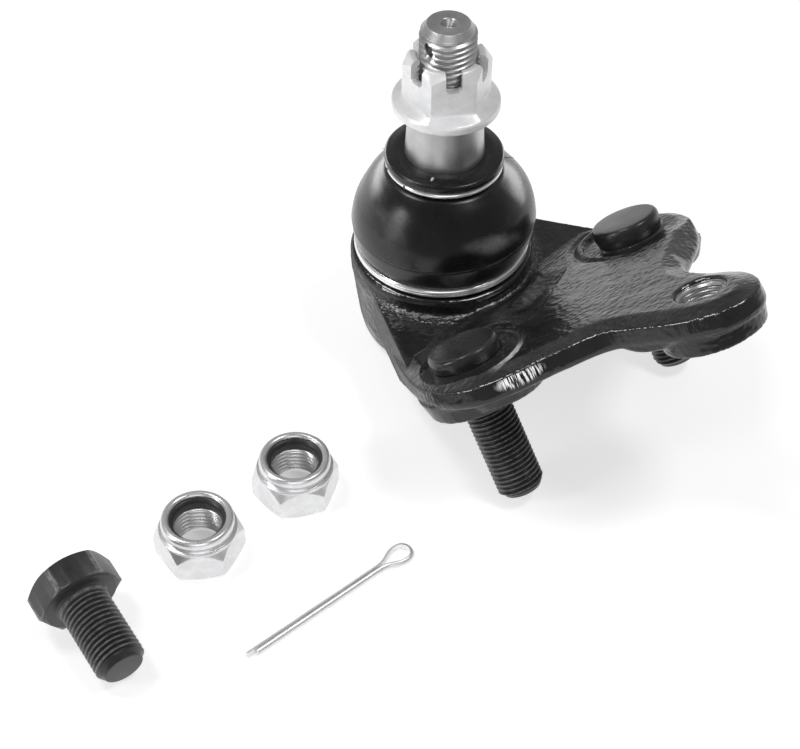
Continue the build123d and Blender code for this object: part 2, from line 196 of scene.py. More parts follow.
def hex_radius(S, af, rc=0.45):
    """radius by column of a hexagon whose flats are exactly flat and whose corners are rounded to rc"""
    th = (angles(S) + math.pi / 6) % (math.pi / 3) - math.pi / 6        # from the nearest flat's middle
    a_ = af / 2
    d = (a_ - rc) / math.cos(math.pi / 6)
    tc = math.atan2(d * 0.5, a_)
    flat = a_ / np.cos(th)
    ph = math.pi / 6 - np.abs(th)
    arc = d * np.cos(ph) + np.sqrt(np.maximum(rc ** 2 - (d * np.sin(ph)) ** 2, 0))
    return np.where(np.abs(th) <= tc, flat, arc)


def place(origin, zdir, xdir=(1, 0, 0)):
    """matrix of a frame with the given Z direction"""
    z = Vector(zdir).normalized()
    x = Vector(xdir)
    x = (x - z * x.dot(z)).normalized()
    y = z.cross(x)
    m = Matrix((x, y, z)).transposed().to_4x4()
    m.translation = Vector(origin)
    return m


def apply_modifiers(ob):
    dg = bpy.context.evaluated_depsgraph_get()
    me = bpy.data.meshes.new_from_object(ob.evaluated_get(dg))
    old = ob.data
    ob.modifiers.clear()
    ob.data = me
    bpy.data.meshes.remove(old)


def weigh(ob):
    """normals weighted by face area, so flats shade flat up to their rounded edges"""
    m = ob.modifiers.new("weigh", "WEIGHTED_NORMAL")
    m.weight = 90
    m.keep_sharp = True
    bpy.context.view_layer.update()
    apply_modifiers(ob)


def cut(ob, cutters, sharp=38.0):
    for c in cutters:
        m = ob.modifiers.new("cut", "BOOLEAN")
        m.operation = "DIFFERENCE"
        m.solver = "EXACT"
        m.object = c
    bpy.context.view_layer.update()
    apply_modifiers(ob)
    for c in cutters:
        bpy.data.objects.remove(c)
    finish_mesh(ob.data, sharp)


def lathe(name, pts, S=128, n=4, closed=True, matrix=None, sharp=38.0):
    prof = round_profile(pts, closed=closed, n=n)
    return Solid().grid(sweep_z(prof, S), wrap_rows=closed).make(name, matrix, sharp)


# ------------------------------------------------------------------ material kit
class Mat:
    def __init__(self, name):
        self.m = bpy.data.materials.new(name)
        self.m.use_nodes = True
        self.nt = self.m.node_tree
        self.bsdf = self.nt.nodes["Principled BSDF"]
        self.co = self.nt.nodes.new("ShaderNodeTexCoord").outputs["Object"]

    def set(self, **kw):
        for k, v in kw.items():
            self.bsdf.inputs[k.replace("_", " ")].default_value = v
        return self

    def link(self, a, b):
        self.nt.links.new(a, b)

    def mapping(self, scale=(1, 1, 1), rot=(0, 0, 0), vec=None):
        n = self.nt.nodes.new("ShaderNodeMapping")
        n.inputs["Scale"].default_value = scale
        n.inputs["Rotation"].default_value = rot
        self.link(vec or self.co, n.inputs["Vector"])
        return n.outputs["Vector"]

    def noise(self, scale, detail=2.0, rough=0.5, distort=0.0, vec=None):
        n = self.nt.nodes.new("ShaderNodeTexNoise")
        n.inputs["Scale"].default_value = scale
        n.inputs["Detail"].default_value = detail
        n.inputs["Roughness"].default_value = rough
        n.inputs["Distortion"].default_value = distort
        self.link(vec or self.co, n.inputs["Vector"])
        return n.outputs["Fac"]

    def voronoi(self, scale, vec=None, feature="F1", smooth=0.6):
        n = self.nt.nodes.new("ShaderNodeTexVoronoi")
        n.feature = feature
        n.inputs["Scale"].default_value = scale
        if feature == "SMOOTH_F1":
            n.inputs["Smoothness"].default_value = smooth
        self.link(vec or self.co, n.inputs["Vector"])
        return n.outputs["Distance"]

    def ramp(self, fac, stops):
        n = self.nt.nodes.new("ShaderNodeValToRGB")
        el = n.color_ramp.elements
        while len(el) < len(stops):
            el.new(0.5)
        for e, (p, c) in zip(el, stops):
            e.position = p
            e.color = (c, c, c, 1) if not hasattr(c, "__len__") else (*c, 1)
        self.link(fac, n.inputs["Fac"])
        return n.outputs["Color"]

    def math(self, op, a, b=None, c=None):
        n = self.nt.nodes.new("ShaderNodeMath")
        n.operation = op
        for i, v in enumerate((a, b, c)):
            if v is None:
                continue
            if isinstance(v, (int, float)):
                n.inputs[i].default_value = v
            else:
                self.link(v, n.inputs[i])
        return n.outputs[0]

    def bump(self, height, dist, strength=1.0, normal=None):
        n = self.nt.nodes.new("ShaderNodeBump")
        n.inputs["Strength"].default_value = strength
        n.inputs["Distance"].default_value = dist
        self.link(height, n.inputs["Height"])
        if normal is not None:
            self.link(normal, n.inputs["Normal"])
        return n.outputs["Normal"]

    def out(self, color=None, rough=None, normal=None, metal=None):
        if color is not None:
            self.link(color, self.bsdf.inputs["Base Color"])
        if rough is not None:
            self.link(rough, self.bsdf.inputs["Roughness"])
        if normal is not None:
            self.link(normal, self.bsdf.inputs["Normal"])
        if metal is not None:
            self.link(metal, self.bsdf.inputs["Metallic"])
        return self.m


TILT = math.radians(33.2)


def ball_mask(m, centre, size, soft=0.5, turn=(0, 0, 0)):
    """1 near a place in the piece's own coordinates (mm), fading to 0 at its edge"""
    v = m.nt.nodes.new("ShaderNodeMapping")
    m.link(m.co, v.inputs["Vector"])
    v.vector_type = "TEXTURE"
    v.inputs["Location"].default_value = [k * MM for k in centre]
    v.inputs["Scale"].default_value = [k * MM for k in size]
    v.inputs["Rotation"].default_value = turn
    ln = m.nt.nodes.new("ShaderNodeVectorMath")
    ln.operation = "LENGTH"
    m.link(v.outputs["Vector"], ln.inputs[0])
    mr = m.nt.nodes.new("ShaderNodeMapRange")
    mr.interpolation_type = "SMOOTHSTEP"
    mr.inputs["From Min"].default_value = 1.0
    mr.inputs["From Max"].default_value = soft
    m.link(ln.outputs["Value"], mr.inputs["Value"])
    return mr.outputs["Result"]


def plate_mask(m, centre, size, soft=0.5):
    """like ball_mask, the place and size given in plate coordinates (s, y, h)"""
    c_, a_ = math.cos(TILT), math.sin(TILT)
    s_, y_, h_ = centre
    at = (34.45 + s_ * c_ - h_ * a_, y_, 18.8 + s_ * a_ + h_ * c_)
    return ball_mask(m, at, size, soft, (0, -TILT, 0))


def mat_ecoat():
    m = Mat("black_ecoat")
    m.set(Metallic=0.0, IOR=1.5, Specular_IOR_Level=0.5)
    # plate coordinates: x along the plate, z along its normal
    pv = m.mapping(rot=(0, TILT, 0))
    geo = m.nt.nodes.new("ShaderNodeNewGeometry")
    dot = m.nt.nodes.new("ShaderNodeVectorMath")
    dot.operation = "DOT_PRODUCT"
    m.link(geo.outputs["Normal"], dot.inputs[0])
    dot.inputs[1].default_value = (-math.sin(TILT), 0, math.cos(TILT))
    facing = m.math("ABSOLUTE", dot.outputs["Value"])
    wall = m.nt.nodes.new("ShaderNodeMapRange")
    wall.interpolation_type = "SMOOTHSTEP"
    wall.inputs["From Min"].default_value = 0.45
    wall.inputs["From Max"].default_value = 0.15
    m.link(facing, wall.inputs["Value"])
    wall = wall.outputs["Result"]
    pm = (1.0, 0.8, 1.0)
    peb = m.voronoi(760, m.mapping(pm, (0, TILT, 0)), "SMOOTH_F1", 0.5)
    peb2 = m.noise(1500, 3.0, 0.6, 0.2, m.mapping(pm, (0, TILT, 0)))
    fine = m.noise(3600, 2.0, 0.5)
    big = m.noise(230, 2.0, 0.5)
    shear = m.noise(1500, 1.5, 0.6, 0.0, m.mapping((1, 1, 0.03), vec=pv))
    hgt = m.nt.nodes.new("ShaderNodeVectorMath")
    hgt.operation = "DOT_PRODUCT"
    m.link(m.co, hgt.inputs[0])
    hgt.inputs[1].default_value = (-math.sin(TILT), 0, math.cos(TILT))
    h0 = (-34.45 * math.sin(TILT) + 18.8 * math.cos(TILT)) * MM
    band = m.nt.nodes.new("ShaderNodeMapRange")
    band.inputs["From Min"].default_value = h0 - 8.3 * MM
    band.inputs["From Max"].default_value = h0 - 7.7 * MM
    m.link(hgt.outputs["Value"], band.inputs["Value"])
    bit = plate_mask(m, (24.0, -34.0, -6.2), (13.0, 10.0, 3.4), 0.6)
    for at_, size_, k_ in (((57.0, -10.5, -6.2), (7.0, 4.5, 3.2), 0.7), ((-6, -43, -7.0), (10, 8, 4), 0.55), ((10, 45, -6.2), (9, 6, 3.4), 0.4),
                           ((40, -19, -6.2), (9, 5, 3.0), 0.35)):
        bit = m.math("MAXIMUM", bit, m.math("MULTIPLY", plate_mask(m, at_, size_, 0.5), k_))
    mask = m.math("MULTIPLY", m.math("MULTIPLY", wall, band.outputs["Result"]), bit)
    rough_zone = m.ramp(m.noise(120, 2.0, 0.5), [(0.32, 0.25), (0.58, 1.0)])
    # pebbled crests round the socket shoulder
    # pebbles: a ring round the socket's shoulder and three places along the edge
    sx = m.nt.nodes.new("ShaderNodeSeparateXYZ")
    m.link(m.co, sx.inputs[0])
    rad = m.math("SQRT", m.math("ADD", m.math("MULTIPLY", sx.outputs["X"], sx.outputs["X"]),
                                m.math("MULTIPLY", sx.outputs["Y"], sx.outputs["Y"])))
    ringz = m.math("MULTIPLY", m.ramp(m.math("MULTIPLY", rad, 20.0), [(0.452, 0.0), (0.475, 1.0)]),
                   m.ramp(m.math("MULTIPLY", rad, 20.0), [(0.515, 1.0), (0.545, 0.0)]))
    ringz = m.math("MULTIPLY", ringz, m.math("MULTIPLY", m.ramp(m.math("MULTIPLY", sx.outputs["Z"], 50.0), [(0.12, 0.0), (0.18, 1.0)]),
                                             m.ramp(m.math("MULTIPLY", sx.outputs["Z"], 50.0), [(0.36, 1.0), (0.42, 0.0)])))
    place_ = ringz
    for at_, size_ in (((-2.5, -44.8, -4.2), (8.5, 3.2, 2.2)), ((63.5, -10.0, -4.9), (5.0, 3.6, 1.7)), ((24, -28, -4.0), (9, 4, 1.6)),
                       ((38, -17.5, -4.0), (9, 2.0, 1.4))):
        place_ = m.math("MAXIMUM", place_, m.math("MULTIPLY", plate_mask(m, at_, size_, 0.4), 0.8))
    beads = m.math("ADD", m.voronoi(1250, None, "SMOOTH_F1", 0.4), m.math("MULTIPLY", m.noise(2100, 2.0, 0.6), 0.8))
    n1 = m.bump(big, 0.00010, 0.5)
    n2 = m.bump(m.math("MULTIPLY", peb, rough_zone), 0.00016, 0.8, n1)
    n3 = m.bump(m.math("MULTIPLY", peb2, rough_zone), 0.00007, 0.7, n2)
    n3 = m.bump(m.math("MULTIPLY", beads, place_), 0.00022, 0.9, n3)
    n3 = m.bump(fine, 0.00002, 0.7, n3)
    hs = m.math("MULTIPLY", shear, mask)
    n4 = m.bump(hs, 0.00030, 0.8, n3)
    base = m.ramp(m.noise(160, 4.0, 0.6), [(0.3, (0.004, 0.004, 0.0042)), (0.75, (0.010, 0.010, 0.0103))])
    # bright upright streaks painted into the colour of the trimmed wall: a painted highlight of the light caught by the
    # shear striations
    streak_highlight_place = plate_mask(m, (22.5, -35.5, -6.2), (8.5, 6.5, 2.4), 0.55)
    painted_streak_highlight = m.math("MULTIPLY", m.math("MULTIPLY", streak_highlight_place, wall),
                    m.ramp(m.noise(2300, 1.0, 0.5, 0.0, m.mapping((1, 1, 0.02), vec=pv)), [(0.44, 0.0), (0.56, 1.0)]))
    mix = m.nt.nodes.new("ShaderNodeMix")
    mix.data_type = "RGBA"
    m.link(painted_streak_highlight, mix.inputs[0])
    m.link(base, mix.inputs[6])
    mix.inputs[7].default_value = (0.55, 0.55, 0.55, 1)
    rgh = m.ramp(m.noise(400, 3.0, 0.6), [(0.3, 0.07), (0.7, 0.17)])
    # beside the front head a crescent is painted lighter and made rougher: the lighter colour is a painted highlight of
    # the light caught by the spot-facing lip
    arc = m.math("MULTIPLY", plate_mask(m, (1.5, -34.0, -3.9), (16.0, 16.0, 6.0), 0.95),
                 m.math("SUBTRACT", 1.0, plate_mask(m, (1.5, -34.0, -3.9), (13.9, 13.9, 8.0), 0.94)))
    arc = m.math("MULTIPLY", arc, plate_mask(m, (14.6, -30.0, -3.9), (7.0, 9.0, 3.0), 0.3))
    arc = m.math("MULTIPLY", arc, m.ramp(m.noise(900, 4.0, 0.7), [(0.35, 0.35), (0.6, 1.0)]))
    painted_crescent_mix = m.nt.nodes.new("ShaderNodeMix")
    painted_crescent_mix.data_type = "RGBA"
    m.link(arc, painted_crescent_mix.inputs[0])
    m.link(mix.outputs[2], painted_crescent_mix.inputs[6])
    painted_crescent_mix.inputs[7].default_value = (0.22, 0.22, 0.22, 1)
    rgh = m.math("ADD", m.math("MULTIPLY", arc, 0.45), rgh)
    # the flank towards the socket's far side is dull, sheared and never polished
    tn = m.nt.nodes.new("ShaderNodeVectorMath")
    tn.operation = "DOT_PRODUCT"
    m.link(geo.outputs["Normal"], tn.inputs[0])
    tn.inputs[1].default_value = (-0.90, -0.43, 0.0)
    dull = m.ramp(tn.outputs["Value"], [(0.62, 0.0), (0.86, 1.0)])
    rgh = m.math("ADD", m.math("MULTIPLY", dull, 0.45), rgh)
    return m.out(painted_crescent_mix.outputs[2], rgh, n4)


def mat_phosphate(name="phosphated_steel", lo=0.020, hi=0.038, rough=0.27):
    m = Mat(name)
    m.set(Metallic=0.0, IOR=1.5, Specular_IOR_Level=0.5)
    n = m.noise(700, 4.0, 0.6)
    big = m.noise(90, 3.0, 0.55)
    f = m.math("ADD", m.math("MULTIPLY", n, 0.4), m.math("MULTIPLY", big, 0.6))
    base = m.ramp(f, [(0.35, lo), (0.62, hi)])
    # edges and thread crests are rubbed lighter
    at = m.nt.nodes.new("ShaderNodeAttribute")
    at.attribute_name = "wear"
    worn = m.math("MULTIPLY", at.outputs["Fac"], m.ramp(m.noise(600, 4.0, 0.7), [(0.35, 0.2), (0.6, 1.0)]))
    mix = m.nt.nodes.new("ShaderNodeMix")
    mix.data_type = "RGBA"
    m.link(worn, mix.inputs[0])
    m.link(base, mix.inputs[6])
    mix.inputs[7].default_value = (0.34, 0.34, 0.34, 1)
    rgh = m.ramp(big, [(0.3, rough - 0.08), (0.7, rough + 0.10)])
    return m.out(mix.outputs[2], rgh, m.bump(n, 0.00004, 0.6))


def mat_turned(name="satin_steel", base=0.50, rough=0.31, groove=0.00002):
    m = Mat(name)
    m.set(Metallic=1.0)
    lines = m.noise(1.0, 3.0, 0.7, 0.0, m.mapping((60, 60, 9000)))
    blotch = m.noise(160, 3.0, 0.6)
    col = m.ramp(blotch, [(0.3, base * 0.82), (0.7, base * 1.12)])
    rgh = m.ramp(m.math("ADD", m.math("MULTIPLY", lines, 0.5), m.math("MULTIPLY", blotch, 0.5)),
                 [(0.3, rough - 0.06), (0.7, rough + 0.10)])
    if name == "stud_steel":
        # painted shade: the cotter hole's far wall is coloured near black, as it lies in shadow
        az_ = math.radians(-100.5)
        painted_hole_shade = ball_mask(m, (5.6 * math.cos(az_), 5.6 * math.sin(az_), 72.2), (1.95, 2.6, 1.85), 0.75, (0, 0, az_ + math.pi / 2))
        mix = m.nt.nodes.new("ShaderNodeMix")
        mix.data_type = "RGBA"
        m.link(painted_hole_shade, mix.inputs[0])
        m.link(col, mix.inputs[6])
        mix.inputs[7].default_value = (0.03, 0.03, 0.03, 1)
        col = mix.outputs[2]
    return m.out(col, rgh, m.bump(lines, groove, 0.5))


def mat_zinc(name="zinc_steel", base=0.80, rough=0.29, metal=0.85):
    m = Mat(name)
    m.set(Metallic=metal, IOR=1.5, Specular_IOR_Level=0.6)
    blotch = m.noise(300, 5.0, 0.7, 0.4)
    fine = m.noise(2400, 2.0, 0.5)
    pits = m.voronoi(1100)
    stain = m.ramp(m.noise(420, 6.0, 0.75), [(0.62, 1.0), (0.76, 0.6)])
    col = m.ramp(blotch, [(0.3, (base * 0.86, base * 0.865, base * 0.875)), (0.7, (base * 1.04, base * 1.04, base * 1.05))])
    tone = m.nt.nodes.new("ShaderNodeVectorMath")
    tone.operation = "MULTIPLY"
    m.link(col, tone.inputs[0])
    m.link(stain, tone.inputs[1])
    rgh = m.ramp(blotch, [(0.3, rough + 0.08), (0.7, rough - 0.05)])
    n = m.bump(fine, 0.00001, 0.5)
    n = m.bump(m.ramp(pits, [(0.03, 0.0), (0.12, 1.0)]), 0.00002, 0.3, n)
    return m.out(tone.outputs[0], rgh, n)


def mat_wire():
    m = Mat("bright_wire")
    m.set(Metallic=0.75, IOR=1.5)
    n = m.noise(900, 3.0, 0.6)
    col = m.ramp(n, [(0.3, 0.86), (0.7, 0.96)])
    return m.out(col, m.ramp(n, [(0.3, 0.16), (0.7, 0.24)]), m.bump(n, 0.00001, 0.4))


def mat_rubber():
    m = Mat("boot_rubber")
    m.set(Metallic=0.0, IOR=1.5, Specular_IOR_Level=0.50, Sheen_Weight=0.55, Sheen_Roughness=0.28)
    big = m.noise(60, 4.0, 0.6, 0.8)
    fine = m.noise(1500, 3.0, 0.6)
    dust = m.noise(420, 5.0, 0.75)
    # wiped streaks run up and down the flank
    wipe = m.noise(1.0, 3.0, 0.6, 0.2, m.mapping((170, 170, 40)))
    f = m.math("ADD", m.math("MULTIPLY", big, 0.55), m.math("MULTIPLY", dust, 0.2))
    f = m.math("ADD", f, m.math("MULTIPLY", wipe, 0.25))
    # painted highlight: a lighter grey laid over a soft streak low on the right of the flank and, faintly, over an
    # upright band on the left, broken up by the dust noise
    painted_highlight_patch = ball_mask(m, (21.2, -5.2, 26.2), (4.0, 11.0, 2.9), 0.0, (-0.16, 0.0, math.radians(-13)))
    painted_reflection_band = ball_mask(m, (2.4, -21.9, 27.0), (2.5, 3.5, 7.0), 0.0, (0, 0, 0.1))
    base = m.ramp(f, [(0.40, (0.0045, 0.0045, 0.0047)), (0.54, (0.008, 0.008, 0.0083)), (0.66, (0.030, 0.030, 0.0305))])
    mix = m.nt.nodes.new("ShaderNodeMix")
    mix.data_type = "RGBA"
    k = m.math("MULTIPLY", m.math("ADD", m.math("MULTIPLY", painted_highlight_patch, 0.9), m.math("MULTIPLY", painted_reflection_band, 0.06)),
               m.ramp(dust, [(0.35, 0.45), (0.65, 1.0)]))
    m.link(k, mix.inputs[0])
    m.link(base, mix.inputs[6])
    mix.inputs[7].default_value = (0.26, 0.26, 0.26, 1)
    rgh = m.ramp(f, [(0.35, 0.20), (0.55, 0.29), (0.70, 0.48)])
    n = m.bump(m.noise(140, 2.0), 0.00010, 0.35)
    n = m.bump(fine, 0.00002, 0.5, n)
    return m.out(mix.outputs[2], rgh, n)


def mat_plastic(name, lo, hi, rough):
    m = Mat(name)
    m.set(Metallic=0.0, IOR=1.5)
    n = m.noise(500, 3.0, 0.6)
    return m.out(m.ramp(n, [(0.3, lo), (0.7, hi)]), m.ramp(n, [(0.3, rough - 0.05), (0.7, rough + 0.08)]),
                 m.bump(n, 0.00003, 0.5))


ECOAT = mat_ecoat()
PHOS = mat_phosphate()
PHOS_BOLT = mat_phosphate("phosphated_bolt", 0.022, 0.040, 0.36)
TURNED = mat_turned()
STUD_STEEL = mat_turned("stud_steel", 0.54, 0.36, 0.000008)
ZINC = mat_zinc()
ZINC_DULL = mat_zinc("zinc_dull", 0.90, 0.36, 0.30)
PIN = mat_zinc("bright_pin", 0.86, 0.30, 0.55)
WIRE = mat_wire()
RUBBER = mat_rubber()
NYLON = mat_plastic("nylon_insert", 0.035, 0.05, 0.32)
SEAT = mat_plastic("bearing_plastic", (0.72, 0.71, 0.66), (0.80, 0.79, 0.75), 0.40)


def wear(ob, matrix, values):
    """rubbed places of a bolt: values(r, z) over its own axis, 0 to 1, kept with the mesh"""
    co = coords(ob.data)
    M = np.linalg.inv(np.array(matrix))
    q = co @ M[:3, :3].T + M[:3, 3]
    at = ob.data.attributes.new("wear", "FLOAT", "POINT")
    at.data.foreach_set("value", np.clip(values(np.hypot(q[:, 0], q[:, 1]), q[:, 2]), 0, 1).astype(np.float32))


def dress(ob, mat):
    ob.data.materials.clear()
    ob.data.materials.append(mat)
    return ob


# ------------------------------------------------------------------ bracket
c, a = math.cos(TILT), math.sin(TILT)
NORMAL = Vector((-a, 0, c))
ALONG = Vector((c, 0, a))
ORIGIN = Vector((34.45, 0, 18.8))


def plate(s, y, h):
    return ORIGIN + ALONG * s + Vector((0, y, 0)) + NORMAL * h


def np_plate(co):
    """row points (mm) -> plate coordinates (s, y, h)"""
    q = co - np.array(ORIGIN)
    return np.stack([q @ np.array(ALONG), q[:, 1], q @ np.array(NORMAL)], -1)


def coords(me):
    co = np.empty(len(me.vertices) * 3)
    me.vertices.foreach_get("co", co)
    return co.reshape(-1, 3) / MM


def set_coords(me, co):
    me.vertices.foreach_set("co", (co * MM).reshape(-1))
    me.update()


def edge_arrays(me):
    e = np.empty(len(me.edges) * 2, int)
    me.edges.foreach_get("vertices", e)
    return e.reshape(-1, 2)


def relax(co, edges, weight, steps):
    """Laplacian smoothing, weight by vertex"""
    n = len(co)
    deg = np.bincount(edges.reshape(-1), minlength=n).clip(1)[:, None]
    for _ in range(steps):
        acc = np.zeros_like(co)
        for k in range(3):
            acc[:, k] = (np.bincount(edges[:, 0], co[edges[:, 1], k], n) + np.bincount(edges[:, 1], co[edges[:, 0], k], n))
        co = co + weight[:, None] * (acc / deg - co)
    return co


def taubin(co, edges, weight, steps, lam=0.55, mu=-0.58):
    """smoothing that keeps the volume"""
    for _ in range(steps):
        co = relax(co, edges, weight * lam, 1)
        co = relax(co, edges, weight * mu, 1)
    return co


def noise_at(co, scale, seed):
    off = Vector((seed * 13.7, seed * 7.1, seed * 3.3))
    return np.array([noise.noise(Vector(p) * scale + off) for p in co.tolist()])


# plate outline at the parting line, (s, y)
RIM = np.array([
    (-40.0, -25.0), (-30.0, -31.0), (-18.0, -38.2), (-9.0, -43.0), (-3.0, -45.2), (3.5, -46.2), (9.6, -45.8),
    (14.4, -44.0), (18.0, -41.0), (20.8, -37.2), (23.8, -32.0), (27.0, -26.8), (30.2, -21.8), (34.0, -18.0),
    (39.4, -16.1), (46.0, -14.8), (51.5, -13.6), (56.5, -11.8), (61.0, -9.0), (64.0, -4.4), (64.8, 0.4),
    (63.0, 5.0), (59.0, 8.8), (54.0, 11.0), (48.5, 11.4), (43.0, 11.0), (38.5, 11.2), (34.2, 12.6), (31.0, 15.4),
    (28.4, 19.2), (26.0, 23.6), (23.4, 28.6), (20.4, 33.4), (16.6, 38.0), (12.4, 41.6), (7.6, 44.0), (2.0, 45.3),
    (-4.2, 44.6), (-10.0, 41.8), (-18.0, 37.4), (-30.0, 30.4), (-40.0, 24.6)])


def wall_distance(q):
    """distance of plate points from the outline, seen square to the plate"""
    best = np.full(len(q), 1e9)
    for (x0, y0), (x1, y1) in zip(RIM[:-1], RIM[1:]):
        dx, dy = x1 - x0, y1 - y0
        t = np.clip(((q[:, 0] - x0) * dx + (q[:, 1] - y0) * dy) / (dx * dx + dy * dy), 0, 1)
        best = np.minimum(best, np.hypot(q[:, 0] - x0 - t * dx, q[:, 1] - y0 - t * dy))
    return best


def make_bracket():
    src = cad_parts["housing_bracket"]
    me = src.data.copy()
    me.materials.clear()
    ob = bpy.data.objects.new("bracket", me)
    sc.collection.objects.link(ob)
    bm = bmesh.new()
    bm.from_mesh(me)
    bmesh.ops.remove_doubles(bm, verts=bm.verts, dist=1e-6)
    bm.to_mesh(me)
    bm.free()
    # room for the thread of the far ear
    co = coords(me)
    q = np_plate(co)
    d = np.hypot(q[:, 0] - 49.3, q[:, 1])
    inside = d < 5.45
    f = np.where(inside, 6.1 / np.maximum(d, 1e-6), 1.0)
    q[:, 0] = 49.3 + (q[:, 0] - 49.3) * f
    q[:, 1] = q[:, 1] * f
    co = np.array(ORIGIN) + q[:, :1] * np.array(ALONG) + q[:, 1:2] * np.array([0, 1, 0]) + q[:, 2:] * np.array(NORMAL)
    set_coords(me, co)
    m = ob.modifiers.new("remesh", "REMESH")
    m.mode = "VOXEL"
    m.voxel_size = 0.00037
    m.adaptivity = 0.0
    bpy.context.view_layer.update()
    apply_modifiers(ob)
    me = ob.data
    co = coords(me)
    edges = edge_arrays(me)
    q = np_plate(co)
    ds = [np.hypot(q[:, 0], q[:, 1] - y) for y in (-31.4, 31.4)]
    de = np.hypot(q[:, 0] - 49.3, q[:, 1])
    rax = np.hypot(co[:, 0], co[:, 1])
    # machined places stay crisp, forged places are soft
    soft = np.ones(len(co))
    soft *= smooth01((ds[0] - 11.8) / 1.5) * smooth01((ds[1] - 11.8) / 1.5)
    soft *= smooth01((de - 6.3) / 1.0)
    soft *= np.where((rax < 24.0) & (co[:, 2] > 6.9), 0.12, 1.0)
    soft *= np.where((rax < 17.6), 0.1, 1.0)
    # the trimmed upper edge and the parting line stay sharp
    wall = wall_distance(q)
    crisp = np.exp(-((q[:, 2] + 4.7) / 0.55) ** 2) * np.exp(-(wall / 0.7) ** 2)
    crisp = np.maximum(crisp, 0.8 * np.exp(-((q[:, 2] + 8.0) / 0.6) ** 2) * np.exp(-(wall / 0.8) ** 2))
    soft *= 1 - 0.9 * crisp
    soft = np.clip(soft, 0.06, 1.0)
    co = taubin(co, edges, np.clip(soft, 0.3, 1), 5)
    co = relax(co, edges, soft * 0.5, 3)
    # rounded crest of the shoulder
    crest = np.exp(-((rax - 24.7) / 1.5) ** 2) * np.exp(-((co[:, 2] - 6.3) / 1.5) ** 2)
    co = relax(co, edges, crest * 0.6, 26)
    # dished ground round both heads, rising to the plate on the side of the threaded ear
    q = np_plate(co)
    up = smooth01((q[:, 2] + 5.2) / 0.8)
    dip = np.zeros(len(co))
    for y0, sg in ((-31.4, 1), (31.4, -1)):
        dx, dy = q[:, 0] - 0.0, q[:, 1] - y0
        d_ = np.hypot(dx, dy)
        ring = smooth01((16.0 - d_) / 1.9) * smooth01((d_ - 8.6) / 0.6)
        side_ = np.clip((dx * 0.8 + dy * 0.6 * sg) / np.maximum(d_, 1e-6) * 1.3 + 0.45, 0, 1)
        dip -= (0.25 if sg > 0 else 0.5) * ring * side_ * up
        if sg > 0:
            continue
        lee = np.clip((-dx * 0.55 - dy * 0.83) / np.maximum(d_, 1e-6) * 1.4, 0, 1)
        dip += (0.55 * np.exp(-((d_ - 13.3) / 0.8) ** 2) - 0.75 * np.exp(-((d_ - 15.4) / 0.75) ** 2)) * lee * up
    # hollow in the plate beside the socket
    ux, uy = -0.425, 0.905
    v_ = (q[:, 0] + 3.4) * uy - (q[:, 1] - 0.8) * ux
    u_ = (q[:, 0] + 3.4) * ux + (q[:, 1] - 0.8) * uy
    dip -= 1.5 * np.exp(-np.abs(u_ / 9.5) ** 3) * smooth01((3.4 - v_) / 1.6) * smooth01((v_ + 7.5) / 6.0) * smooth01((q[:, 2] + 5.2) / 0.8)
    co = co + np.array(NORMAL) * dip[:, None]
    # pebbled places: the shoulder's crest, the plate's edge before the front head and below the threaded hole
    q = np_plate(co)
    wd = wall_distance(q)
    peb = np.clip(crest * 1.3, 0, 1)
    peb = np.maximum(peb, np.exp(-((q[:, 0] + 1.5) / 6.0) ** 2) * np.exp(-((q[:, 1] + 45.0) / 2.6) ** 2) * (np.abs(q[:, 2] + 4.4) < 1.4))
    peb = np.maximum(peb, np.exp(-((q[:, 0] - 61.0) / 3.4) ** 2) * np.exp(-((q[:, 1] + 8.0) / 3.4) ** 2) * np.exp(-((q[:, 2] + 4.8) / 1.6) ** 2))
    peb = np.maximum(peb, 0.45 * np.exp(-(wd / 1.3) ** 2) * np.exp(-((q[:, 2] + 4.4) / 0.8) ** 2))
    # forging is never quite even: slow waves and small dents along the surface
    me2 = me
    set_coords(me2, co)
    nrm = np.empty(len(co) * 3)
    me2.vertex_normals.foreach_get("vector", nrm)
    nrm = nrm.reshape(-1, 3)
    w = np.clip(soft, 0, 1)
    amp = 0.08 * noise_at(co, 0.16, 1) + 0.045 * noise_at(co, 0.42, 2) + 0.04 * noise_at(co, 0.95, 3)
    amp *= 1 - 0.6 * np.clip(smooth01((q[:, 1] - 36.0) / 4.0) + np.exp(-((de - 6.3) / 3.0) ** 2), 0, 1)
    fine = noise_at(co, 0.85, 5) + 0.6 * noise_at(co, 1.25, 6)
    co = co + nrm * (amp * w + 0.14 * fine * peb)[:, None]
    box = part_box("housing_bracket")
    co = np.clip(co, np.array(box[0]) / MM + 0.01, np.array(box[1]) / MM - 0.01)
    set_coords(me2, co)
    finish_mesh(me2, 60.0)
    return ob


bracket = make_bracket()
dress(bracket, ECOAT)
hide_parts("housing_bracket")
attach(bracket, "housing")

# bright thread cut in the far ear, a sleeve of bare steel in the forging
S = 96
ear = Solid()
P, M = thread_rows(5.42, 0.62, 1.25, -14.3, -3.6, S, inner=True, cone0=0.9, cone1=1.0, r_end0=6.15, r_end1=6.45)
ear.grid(P, shift=M)
out = sweep_z(round_profile([(6.45, -3.6), (6.6, -3.75), (6.6, -14.1), (6.15, -14.3)]), S)
ear.grid(out)
ear_thread = ear.make("ear_thread", place(plate(49.3, 0, 0), NORMAL))
dress(ear_thread, mat_turned("cut_steel", 0.62, 0.30, 0.000004))
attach(ear_thread, "housing")


